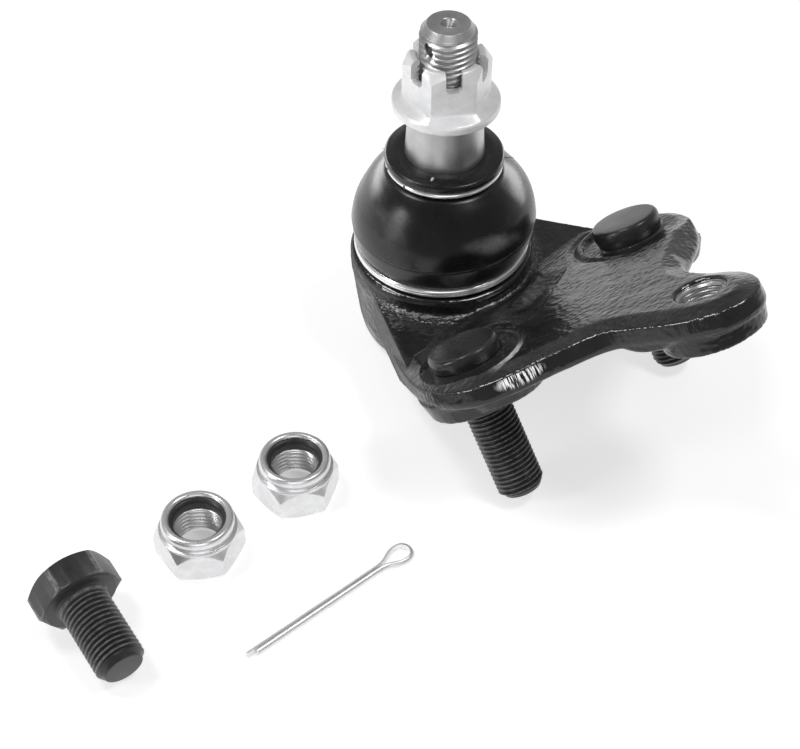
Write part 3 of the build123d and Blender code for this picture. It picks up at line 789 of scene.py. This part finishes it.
# ------------------------------------------------------------------ stud bolts
def stud_bolt(name, y, top, yaw):
    S = 96
    s = Solid()
    head = round_profile([(0, top), (5.5, top, 2), (8.3, top - 0.10, 0.7), (8.85, top - 1.0, 0.9), (8.88, -2.4, 0.8), (8.45, -4.0, 0.3),
                          (6.6, -4.0), (6.35, -4.2), (6.35, -14.8, 0.2),
                          (5.95, -14.9)])
    s.grid(sweep_z(head, S))
    P, M = thread_rows(5.95, 0.767, 1.25, -40.0, -14.9, S, fade1=0.9, cone0=0.9, r_end0=4.95)
    s.grid(P, shift=M)
    tip = round_profile([(4.95, -40.0), (4.7, -40.74, 0.3), (0, -40.74)])
    s.grid(sweep_z(tip, S))
    m = place(plate(0, y, 0), NORMAL) @ Matrix.Rotation(math.radians(yaw), 4, "Z")
    ob = s.make(name, m, 42)
    wear(ob, m, lambda r, z: np.where(z < -14.9, smooth01((r - 5.80) / 0.12) * 0.7, 0.0))
    dress(ob, PHOS)
    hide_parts(name.replace("_piece", ""))
    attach(ob, "housing")
    return ob


stud_bolt("stud_bolt_front_piece", -31.4, 0.0, 20)
stud_bolt("stud_bolt_rear_piece", 31.4, 0.8, 130)

# ------------------------------------------------------------------ boot
BOOT_OUT = [
    (17.4, 10.95), (20.95, 10.95, 0.2), (20.95, 14.0, 0.25), (22.4, 14.3, 0.4), (23.1, 16.4, 2), (23.5, 19.2, 2), (23.55, 20.8, 2),
    (23.25, 23.2, 2), (22.5, 26.0, 2), (21.2, 28.6, 2), (19.3, 31.6, 2), (17.2, 33.9, 2), (14.9, 35.75, 0.5), (13.35, 36.2, 0.4),
    (13.35, 38.3, 0.4), (14.95, 38.6, 0.35), (14.95, 40.3, 0.7), (12.2, 41.0, 0.8), (9.98, 40.7, 0.4)]
BOOT_IN = [
    (10.25, 37.2, 0.5), (11.6, 36.4, 0.5), (13.6, 34.4, 1), (16.2, 31.8, 2), (18.6, 29.0, 2), (20.2, 26.0, 2), (21.0, 22.6, 2),
    (21.1, 19.0, 2), (20.7, 16.0, 1), (19.5, 13.4, 1), (17.4, 11.9, 0.3)]
SEAM = 26.5


def dense(pts, step):
    P = [np.array(p[:2], float) for p in pts]
    out = [P[0]]
    for a_, b_ in zip(P[:-1], P[1:]):
        n = max(1, int(np.ceil(np.linalg.norm(b_ - a_) / step)))
        for k in range(1, n + 1):
            out.append(a_ + (b_ - a_) * k / n)
    return np.array(out)


def boot_halves():
    o = round_profile(BOOT_OUT, n=6)[:, 0]
    i = round_profile(BOOT_IN, n=4)[:, 0]
    o, i = dense(o, 0.45), dense(i, 0.8)
    # the moulding's parting line, a fine raised lip
    z_ = o[:, 1]
    o[:, 0] += np.where(o[:, 0] > 21.5, 0.06 * np.exp(-((z_ - 20.75) / 0.16) ** 2) - 0.22 * np.exp(-((z_ - 20.35) / 0.16) ** 2)
                        - 0.10 * smooth01((20.5 - z_) / 0.4) * smooth01((z_ - 14.5) / 3.0), 0)
    ko = int(np.argmin(np.abs(o[:, 1] - SEAM) + 50 * (o[:, 0] < 15)))
    ki = int(np.argmin(np.abs(i[:, 1] - SEAM)))
    lower = np.concatenate([i[ki:], o[:ko + 1]])
    upper = np.concatenate([o[ko:], i[:ki + 1]])
    obs = []
    for name, pr in (("boot_lower", lower), ("boot_upper", upper)):
        P = sweep_z(pr[:, None, :], 192)
        # the rubber sits a little to one side and its widest line climbs towards that side
        g = smooth01((P[..., 2] - 14.3) / 5.0) * smooth01((36.0 - P[..., 2]) / 9.0)
        lat = P[..., 0] * 0.7331 + P[..., 1] * 0.6801
        P[..., 2] += 0.045 * lat * g
        P[..., 0] += 0.24 * g
        P[..., 1] += 0.22 * g
        ob = Solid().grid(P, wrap_rows=True).make(name, None, 50)
        dress(ob, RUBBER)
        obs.append(ob)
    return obs, o[ko], i[ki]


(boot_lower, boot_upper), so, si = boot_halves()
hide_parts("boot")
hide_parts("boot")


# ------------------------------------------------------------------ wire rings
def wire(name, path, r, S=14, cap=True):
    """round wire along a list of points (mm)"""
    path = np.asarray(path, float)
    t = np.gradient(path, axis=0)
    t /= np.linalg.norm(t, axis=1, keepdims=True)
    up = np.array([0, 0, 1.0])
    u = np.cross(t, up)
    u /= np.linalg.norm(u, axis=1, keepdims=True)
    v = np.cross(u, t)
    th = angles(S)
    P = path[:, None, :] + r * (np.cos(th)[None, :, None] * u[:, None, :] + np.sin(th)[None, :, None] * v[:, None, :])
    s = Solid()
    e0 = path[0] - t[0] * r * 0.25
    e1 = path[-1] + t[-1] * r * 0.25
    P = np.concatenate([np.repeat(e0[None, None], S, 1), path[0] + 0.8 * (P[:1] - path[0]) - t[0] * r * 0.22, P,
                        path[-1] + 0.8 * (P[-1:] - path[-1]) + t[-1] * r * 0.22, np.repeat(e1[None, None], S, 1)])
    s.grid(P)
    return s.make(name, None, 50)


def helix(R, z0, z1, a0, a1, n=240):
    t = np.linspace(0, 1, n)
    an = np.radians(a0 + (a1 - a0) * t)
    return np.stack([R * np.cos(an), R * np.sin(an), z0 + (z1 - z0) * t], -1)


ring_path = helix(21.80, 11.72, 13.10, 100, 100 + 2.02 * 360, 420)
ring_path[:, 2] += 0.012 * (ring_path[:, 0] * 0.7331 + ring_path[:, 1] * 0.6801)
base_ring = wire("boot_base_ring_piece", ring_path, 0.84)
dress(base_ring, WIRE)
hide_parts("boot_base_ring")
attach(base_ring, "housing")
top_ring = wire("boot_top_ring_piece", helix(14.02, 37.35, 37.35, -89, -89 + 328, 300), 0.72)
dress(top_ring, WIRE)
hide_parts("boot_top_ring")
top_ring_end = wire("boot_top_ring_end", helix(14.02, 37.35, 37.35, -120, -91, 40), 0.72)
dress(top_ring_end, WIRE)
for ob in (top_ring, top_ring_end):
    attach(ob, "collar")

# moulding flash: two whiskers on the neck flange, two nibs across the clip
def flash():
    s = Solid()
    for az_, r0, r1, z0_, z1_, t_ in ((37.9, 14.7, 17.2, 39.4, 39.6, 0.09), (-142.7, 14.7, 15.5, 39.5, 39.5, 0.10),
                                      (-89.2, 14.65, 14.85, 36.7, 38.1, 0.17), (-120.6, 14.65, 14.85, 36.7, 38.1, 0.15)):
        a_ = math.radians(az_)
        e = np.array([math.cos(a_), math.sin(a_), 0])
        p0, p1 = e * r0 + [0, 0, z0_], e * r1 + [0, 0, z1_]
        d_ = (p1 - p0) / np.linalg.norm(p1 - p0)
        n1 = np.array([-e[1], e[0], 0])
        n2 = np.cross(d_, n1)
        rows = []
        for k, f in ((0, 0.02), (0, 1), (0.5, 0.9), (1, 0.7), (1, 0.02)):
            c_ = p0 + (p1 - p0) * k
            rows.append([c_ + t_ * f * (math.cos(q_) * n1 + math.sin(q_) * n2) for q_ in np.linspace(0, 2 * math.pi, 8, endpoint=False)])
        s.grid(np.array(rows))
    ob = s.make("boot_flash")
    dress(ob, RUBBER)
    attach(ob, "collar")
    az_ = math.radians(-61.4)
    g = lathe("grease_drop", [(0, -0.2), (0.50, -0.1, 0.2), (0.42, 0.42, 0.25), (0, 0.62)], 24,
              matrix=place((12.4 * math.cos(az_), 12.4 * math.sin(az_), 40.75), (0.10, -0.10, 1), (1, 0.3, 0)) @ Matrix.Diagonal((0.8, 1.5, 1, 1)))
    gm = Mat("grease")
    gm.set(Subsurface_Weight=0.0, IOR=1.46, Metallic=0.0)
    gn = gm.noise(1800, 2.0)
    dress(g, gm.out(gm.ramp(gn, [(0.3, 0.70), (0.7, 0.82)]), gm.ramp(gn, [(0.3, 0.12), (0.7, 0.22)])))
    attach(g, "collar")


flash()

# ------------------------------------------------------------------ ball stud
S = 128
st = Solid()
zn = math.sqrt(14.0 ** 2 - 8.0 ** 2)
ball = [(14.0 * math.cos(t), 14.0 * math.sin(t)) for t in np.linspace(math.asin(-12.2 / 14.0), math.asin(zn / 14.0), 60)]
prof = [(0, -12.2)] + [(r, z) for r, z in ball[:-1]] + [
    (8.0, zn, 1.2), (8.0, zn + 4.0, 1.0), (8.35, zn + 9.0, 2), (9.45, 32.0, 2), (10.15, 35.0, 1.0), (10.15, 37.0, 0.5), (9.2, 52.2, 0.3),
    (5.97, 53.4, 0.3), (5.97, 54.4, 0.3), (6.92, 55.4)]
st.grid(sweep_z(round_profile(prof), S))
P, M = thread_rows(6.92, 0.92, 1.5, 55.4, 75.75, S, fade0=1.0, cone1=0.01, r_end1=6.9)
P, M = thread_rows(6.92, 0.92, 1.5, 55.4, 77.45, S, fade0=1.0, cone1=1.95, r_end1=5.30)
st.grid(P, shift=M)
st.grid(sweep_z(round_profile([(5.30, 77.45), (5.22, 77.65, 0.1), (2.05, 77.65, 0.25), (1.0, 76.1, 0.2), (0, 75.2)]), S))
ball_stud = st.make("ball_stud_piece", None, 40)


def cone_cutter(pts, matrix, S=48):
    ob = Solid().grid(sweep_z(round_profile([(0, pts[0][1])] + pts + [(0, pts[-1][1])]), S)).make("cutter", matrix)
    ob.hide_render = True
    return ob


az = math.radians(-100.5)
hd = Vector((math.cos(az), math.sin(az), 0))
cut(ball_stud, [cone_cutter([(3.9, -8.0), (1.75, -5.6), (1.6, -5.3), (1.6, 5.3), (1.75, 5.6), (3.9, 8.0)],
                            place((0, 0, 72.2), hd, (0, 0, 1)))], 40)
dress(ball_stud, STUD_STEEL)
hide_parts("ball_stud")
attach(ball_stud, "stud")


# ------------------------------------------------------------------ castle nut
def castle_nut():
    S = 240
    z0 = 54.6
    yaw = math.radians(52.3)
    hx = hex_radius(S, 19.0, 0.28)
    top = z0 + 14.8
    # outer surface, from the bearing face up to the top of the tabs
    chz = top - 0.62 - np.maximum(hx - 9.45, 0) * 1.3
    prof = round_profile([
        (7.9, z0), (13.0, z0, 0.25), (13.28, z0 + 0.35, 0.3), (13.28, z0 + 1.9, 0.35), (12.95, z0 + 2.3, 0.4),
        (hx + 0.35, z0 + 3.30, 0.2), (hx + 0.0, z0 + 3.60, 0.15), (hx, chz, 0.15), (np.minimum(hx, 9.35), top - 0.45, 0.3),
        (8.9, top, 0.3), (7.65, top, 0.35), (7.1, top - 0.7, 0.2)])
    s = Solid()
    s.grid(sweep_z(prof))
    P, M = thread_rows(7.1, 0.75, 1.5, z0 + 0.8, top - 0.7, S, inner=True, fade0=0.5, fade1=0.5)
    s.grid(P, shift=M)
    s.grid(sweep_z(round_profile([(7.1, z0 + 0.8), (7.9, z0)]), S))
    ob = s.make("castle_nut_piece", None, 40)
    cutters = []
    for k in range(3):
        b = bpy.data.meshes.new("slot")
        bm = bmesh.new()
        bmesh.ops.create_cube(bm, size=1.0)
        bmesh.ops.scale(bm, vec=(0.060, 0.0040, 0.012), verts=bm.verts)
        ed = [e for e in bm.edges if all(v.co.z < 0 for v in e.verts) and abs(e.verts[0].co.x - e.verts[1].co.x) > 0.01]
        bmesh.ops.bevel(bm, geom=ed, offset=0.0006, segments=4, affect="EDGES")
        bmesh.ops.translate(bm, vec=(0, 0, (top - 5.2) * MM + 0.006), verts=bm.verts)
        bmesh.ops.rotate(bm, matrix=Matrix.Rotation(math.radians(60 * k), 3, "Z"), verts=bm.verts)
        bm.to_mesh(b)
        bm.free()
        cu = bpy.data.objects.new("slot", b)
        sc.collection.objects.link(cu)
        cutters.append(cu)
    cut(ob, cutters, 34)
    bev = ob.modifiers.new("edge", "BEVEL")
    bev.width = 0.00012
    bev.segments = 2
    bev.limit_method = "ANGLE"
    bev.angle_limit = math.radians(50)
    bpy.context.view_layer.update()
    apply_modifiers(ob)
    ob.data.transform(Matrix.Rotation(yaw + math.radians(30), 4, "Z"))
    finish_mesh(ob.data, 34)
    weigh(ob)
    return ob


castle = castle_nut()
dress(castle, ZINC_DULL)
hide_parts("castle_nut")
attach(castle, "nut")


# ------------------------------------------------------------------ lock nuts
def lock_nut(which, x, y, yaw, body):
    S = 240
    hx = hex_radius(S, 18.85)
    ch = 9.43
    zt = 8.10 - np.maximum(hx - ch, 0) * 1.6
    zb = 0.05 + np.maximum(hx - 9.2, 0) * 0.58
    prof = round_profile([
        (6.5, 0.0, 0.15), (9.15, 0.0, 0.2), (hx, zb, 0.15), (hx, zt, 0.3), (np.minimum(hx, ch), 8.12, 0.12),
        (9.38, 8.55, 0.2), (8.75, 8.62, 0.12), (8.42, 9.0, 0.15), (8.50, 9.5, 0.2), (8.78, 10.0, 0.35), (8.72, 11.1, 0.55), (8.2, 11.86, 0.5),
        (7.3, 11.9, 0.5), (6.75, 11.45, 0.3), (6.72, 11.05, 0.1), (7.7, 11.0), (7.7, 8.1), (5.6, 8.1, 0.1), (5.42, 7.9)])
    s = Solid()
    s.grid(sweep_z(prof))
    P, M = thread_rows(5.42, 0.62, 1.25, 1.1, 7.9, S, inner=True, fade0=0.4, fade1=0.4)
    s.grid(P, shift=M)
    s.grid(sweep_z(round_profile([(5.42, 1.1), (6.5, 0.0)]), S))
    m = Matrix.Translation((x, y, FLOOR)) @ Matrix.Rotation(math.radians(yaw + 30), 4, "Z")
    ob = s.make(f"lock_nut_{which}_piece", m, 34)
    weigh(ob)
    dress(ob, ZINC)
    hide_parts(f"lock_nut_{which}_body")
    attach(ob, body)
    ins = lathe(f"lock_nut_{which}_ring", [(5.75, 8.2, 0.2), (7.65, 8.2, 0.1), (7.65, 10.95, 0.1), (6.5, 10.95, 0.3), (5.95, 10.5, 0.3),
                                           (5.75, 10.0, 0.2)], 96, matrix=m)
    dress(ins, NYLON)
    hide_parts(f"lock_nut_{which}_insert")
    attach(ins, body)


lock_nut("front", 12.25, -97.55, 50.2, "lock_nut_front")
lock_nut("rear", 15.05, -68.5, 56.7, "lock_nut_rear")


# ------------------------------------------------------------------ hex bolt
def hex_bolt():
    S = 240
    tilt = math.radians(8.8)
    az = math.radians(-12.35)
    d = Vector((math.cos(az) * math.cos(tilt), math.sin(az) * math.cos(tilt), -math.sin(tilt)))
    side = Vector((-math.sin(az), math.cos(az), 0))
    hx = hex_radius(S, 18.2)
    H = 7.5
    ch = -H + np.maximum(hx - 8.6, 0) * 0.62
    prof = round_profile([
        (0, -H), (np.minimum(hx, 8.5), -H, 0.3), (hx, ch, 0.2), (hx, -0.45 + 0 * hx, 0.25), (9.0, -0.35, 0.3), (8.8, 0.0, 0.1),
        (6.4, 0.0, 0.5), (5.95, 0.7)])
    s = Solid()
    s.grid(sweep_z(prof))
    P, M = thread_rows(5.95, 0.767, 1.25, 0.7, 19.05, S, fade0=1.6, cone1=1.0, r_end1=4.95)
    s.grid(P, shift=M)
    s.grid(sweep_z(round_profile([(4.95, 19.05), (4.7, 19.8, 0.35), (0, 19.8)]), S))
    z = FLOOR + 9.1 * math.cos(tilt)
    m = place((10.22, -130.72, z), d, side) @ Matrix.Rotation(math.radians(30), 4, "Z")
    ob = s.make("hex_bolt_piece", m, 36)
    wear(ob, m, lambda r, z: np.where(z > 0.5, smooth01((r - 5.78) / 0.12) * 0.8, 0.0) + np.where(
        z < 0.3, smooth01((r - 10.05) / 0.25) * 0.8 + smooth01((r - 9.2) / 0.3) * np.exp(-((z + 0.45) / 0.18) ** 2), 0.0))
    low = coords(ob.data)[:, 2].min()
    ob.data.transform(Matrix.Translation((0, 0, (FLOOR - low) * MM)))
    dress(ob, PHOS_BOLT)
    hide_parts("hex_bolt")
    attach(ob, "bolt")


hex_bolt()


# ------------------------------------------------------------------ cotter pin
def cotter():
    pts = [(48.4, 0.20), (30, 0.18), (12, 0.16), (9.5, 0.18), (7.6, 0.45), (6.0, 1.25), (4.4, 1.95), (2.6, 2.12), (1.15, 1.62), (0.52, 0.0)]
    ctrl = [(x_, -y_) for x_, y_ in pts] + pts[-2::-1]
    ctrl[-1] = (46.2, 0.20)
    cu = bpy.data.curves.new("pin", "CURVE")
    cu.dimensions = "3D"
    sp = cu.splines.new("NURBS")
    sp.points.add(len(ctrl) - 1)
    for p, (x_, y_) in zip(sp.points, ctrl):
        p.co = (x_, y_, 0, 1)
    sp.order_u = 3
    sp.use_endpoint_u = True
    sp.resolution_u = 10
    tmp = bpy.data.objects.new("pin", cu)
    sc.collection.objects.link(tmp)
    bpy.context.view_layer.update()
    me = bpy.data.meshes.new_from_object(tmp.evaluated_get(bpy.context.evaluated_depsgraph_get()))
    path = np.array([v.co for v in me.vertices])
    bpy.data.objects.remove(tmp)
    t = np.gradient(path, axis=0)
    t /= np.linalg.norm(t, axis=1, keepdims=True)
    inw = np.cross(t, np.array([0, 0, 1.0]))       # towards the split or the inside of the eye
    r = 1.0
    th = np.radians(np.linspace(-90, 90, 13))
    sec = [(-0.02 * 0 - math.cos(q) * r, math.sin(q) * r * 0.97) for q in th]
    sec = [(x_ + 0.0, y_) for x_, y_ in sec]
    sec = sec + [(0.0, 0.55), (0.0, -0.55)]
    if inw[0, 1] * path[0, 1] > 0:
        inw = -inw
    P = np.stack([path + x_ * inw + np.array([0, 0, y_]) for x_, y_ in sec], 1)
    s = Solid()
    P = np.concatenate([np.repeat(P[:1].mean(1, keepdims=True), P.shape[1], 1), P, np.repeat(P[-1:].mean(1, keepdims=True), P.shape[1], 1)])
    s.grid(P)
    m = Matrix.Translation((48.5, -65.9, 0)) @ Matrix.Rotation(math.radians(-95.75), 4, "Z") @ Matrix.Translation((-2.6, 0, 0))
    ob = s.make("cotter_pin_piece", m, 40)
    low = coords(ob.data)[:, 2].min()
    ob.data.transform(Matrix.Translation((0, 0, (FLOOR - low) * MM)))
    dress(ob, PIN)
    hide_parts("cotter_pin")
    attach(ob, "cotter")


cotter()

# ------------------------------------------------------------------ carried-over CAD nodes
for node, mat, slot in (("upper_bearing_seat", SEAT, "bearing_plastic"), ("lower_bearing_seat", SEAT, "bearing_plastic"),
                        ("preload_spring", TURNED, "satin_steel"), ("cover_plate", ECOAT, "black_ecoat")):
    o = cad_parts[node]
    o.data.materials.clear()
    o.data.materials.append(mat)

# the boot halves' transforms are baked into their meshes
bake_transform(boot_lower)
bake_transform(boot_upper)

# ------------------------------------------------------------------ stage, light, camera
bm = bmesh.new()
bmesh.ops.create_grid(bm, x_segments=1, y_segments=1, size=3.0)
me = bpy.data.meshes.new("floor")
bm.to_mesh(me)
bm.free()
floor = bpy.data.objects.new("floor", me)
floor.location = (0, 0, FLOOR * MM)
sc.collection.objects.link(floor)
fm = Mat("floor_white")
# the paper sweep ends a little way in front of the parts
near = fm.nt.nodes.new("ShaderNodeVectorMath")
near.operation = "DOT_PRODUCT"
fm.link(fm.co, near.inputs[0])
near.inputs[1].default_value = (0.6801, -0.7331, 0.0)
end = fm.nt.nodes.new("ShaderNodeMapRange")
end.interpolation_type = "SMOOTHSTEP"
end.inputs["From Min"].default_value = 0.26
end.inputs["From Max"].default_value = 0.15
fm.link(near.outputs["Value"], end.inputs["Value"])
paper = fm.ramp(end.outputs["Result"], [(0.0, 0.42), (1.0, 0.66)])
fm.link(paper, fm.bsdf.inputs["Base Color"])
glow = fm.math("ADD", fm.math("MULTIPLY", end.outputs["Result"], 0.54), 0.12)
# painted shadow: the floor's glow is dimmed under the bores of both lock nuts
for x_, y_ in ((12.25, -97.55), (15.05, -68.5)):
    painted_nut_shadow = ball_mask(fm, (x_, y_, 0), (7.2, 7.2, 7.2), 0.75)
    glow = fm.math("MULTIPLY", glow, fm.math("SUBTRACT", 1.0, fm.math("MULTIPLY", painted_nut_shadow, 0.55)))
fm.link(glow, fm.bsdf.inputs["Emission Strength"])
fm.set(Roughness=0.8, Specular_IOR_Level=0.15, Emission_Color=(1, 1, 1, 1))
floor.data.materials.append(fm.m)

CAM = Vector((224.7, -257.3, 305.4)) * MM
FWD = Vector((-0.4792, 0.5165, -0.7096)).normalized()
RIGHT = Vector((0.7331, 0.6801, 0.0)).normalized()
UP = RIGHT.cross(FWD).normalized()
rho = math.radians(0.745)
R2 = RIGHT * math.cos(rho) + UP * math.sin(rho)
U2 = -RIGHT * math.sin(rho) + UP * math.cos(rho)
cam_data = bpy.data.cameras.new("camera")
cam_data.sensor_width = 36.0
cam_data.lens = 77.95
cam_data.clip_start = 0.01
cam_data.clip_end = 20.0
cam = bpy.data.objects.new("camera", cam_data)
mw = Matrix((R2, U2, -FWD)).transposed().to_4x4()
mw.translation = CAM
cam.matrix_world = mw
sc.collection.objects.link(cam)
sc.camera = cam


def area(name, loc, target, size, power, spread=180.0):
    l = bpy.data.lights.new(name, "AREA")
    l.shape = "RECTANGLE"
    l.size, l.size_y = size
    l.energy = power
    l.spread = math.radians(spread)
    o = bpy.data.objects.new(name, l)
    o.location = loc
    o.rotation_euler = (Vector(target) - Vector(loc)).to_track_quat("-Z", "Y").to_euler()
    sc.collection.objects.link(o)
    return o


flat = Vector((FWD.x, FWD.y, 0)).normalized()       # away from the camera, level
side = Vector((RIGHT.x, RIGHT.y, 0))
aim = (0.02, -0.02, 0.0)


def lamp(name, az, el, dist, size, radiance):
    """soft box seen from the object at azimuth az and elevation el"""
    a_, e_ = math.radians(az), math.radians(el)
    d = Vector((math.cos(e_) * math.cos(a_), math.cos(e_) * math.sin(a_), math.sin(e_)))
    return area(name, Vector(aim) + d * dist, aim, size, radiance * math.pi * size[0] * size[1])


lamp("strip_left", -114, 22, 0.80, (0.12, 0.36), 10.0)
lamp("top_left", 212, 62, 0.85, (0.18, 0.18), 15.0)
lamp("top_right", 35, 68, 0.85, (0.18, 0.18), 15.0)

# a card of light held for the bright metal only
fill = lamp("front_card", -44, 30, 0.80, (0.60, 0.60), 1.35)
bright = bpy.data.collections.new("bright_metal")
for n_ in ("castle_nut_piece", "lock_nut_front_piece", "lock_nut_rear_piece", "cotter_pin_piece", "ball_stud_piece",
           "boot_base_ring_piece", "boot_top_ring_piece", "boot_top_ring_end"):
    bright.objects.link(bpy.data.objects[n_])
fill.light_linking.receiver_collection = bright
# larger boxes that only the forging sees, caught by its pebbled crests
forged = bpy.data.collections.new("forging")
forged.objects.link(bracket)
for box_ in (lamp("crest_left", 212, 62, 0.85, (0.36, 0.36), 17.0), lamp("crest_right", 35, 68, 0.85, (0.36, 0.36), 19.0),
             lamp("crest_front", -114, 24, 0.80, (0.26, 0.42), 9.0)):
    box_.light_linking.receiver_collection = forged
# low light from the back, for the rubber only
soft = bpy.data.collections.new("boot_rubber_parts")
soft.objects.link(boot_lower)
soft.objects.link(boot_upper)
for rim in (lamp("rim_left", 178, 10, 0.80, (0.60, 0.26), 8.0), lamp("rim_right", 86, 10, 0.80, (0.45, 0.26), 6.0)):
    rim.light_linking.receiver_collection = soft

world = bpy.data.worlds.new("studio")
sc.world = world
world.use_nodes = True
nt = world.node_tree
bg = nt.nodes["Background"]
tc = nt.nodes.new("ShaderNodeTexCoord")
sep = nt.nodes.new("ShaderNodeSeparateXYZ")
nt.links.new(tc.outputs["Generated"], sep.inputs[0])
rp = nt.nodes.new("ShaderNodeValToRGB")
rp.color_ramp.interpolation = "EASE"
stops = [(0.0, 0.34), (0.12, 0.30), (0.50, 0.22), (0.85, 0.14)]
while len(rp.color_ramp.elements) < len(stops):
    rp.color_ramp.elements.new(0.5)
for e, (pos, v) in zip(rp.color_ramp.elements, stops):
    e.position = pos
    e.color = (v, v, v, 1)
nt.links.new(sep.outputs["Z"], rp.inputs["Fac"])
# the far side of the studio is brighter, up to a third of the way up
far = nt.nodes.new("ShaderNodeVectorMath")
far.operation = "DOT_PRODUCT"
nt.links.new(tc.outputs["Generated"], far.inputs[0])
far.inputs[1].default_value = (-0.6801, 0.7331, 0.0)
fr = nt.nodes.new("ShaderNodeMapRange")
fr.interpolation_type = "SMOOTHSTEP"
fr.inputs["From Min"].default_value = -0.15
fr.inputs["From Max"].default_value = 0.65
nt.links.new(far.outputs["Value"], fr.inputs["Value"])
rb = nt.nodes.new("ShaderNodeValToRGB")
rb.color_ramp.interpolation = "EASE"
for e, (pos, v) in zip(rb.color_ramp.elements, [(0.05, 0.55), (0.62, 0.30)]):
    e.position = pos
    e.color = (v, v, v, 1)
nt.links.new(sep.outputs["Z"], rb.inputs["Fac"])
mx = nt.nodes.new("ShaderNodeMix")
mx.data_type = "RGBA"
nt.links.new(fr.outputs["Result"], mx.inputs[0])
nt.links.new(rp.outputs["Color"], mx.inputs[6])
nt.links.new(rb.outputs["Color"], mx.inputs[7])
nt.links.new(mx.outputs[2], bg.inputs["Color"])
bg.inputs["Strength"].default_value = 1.0
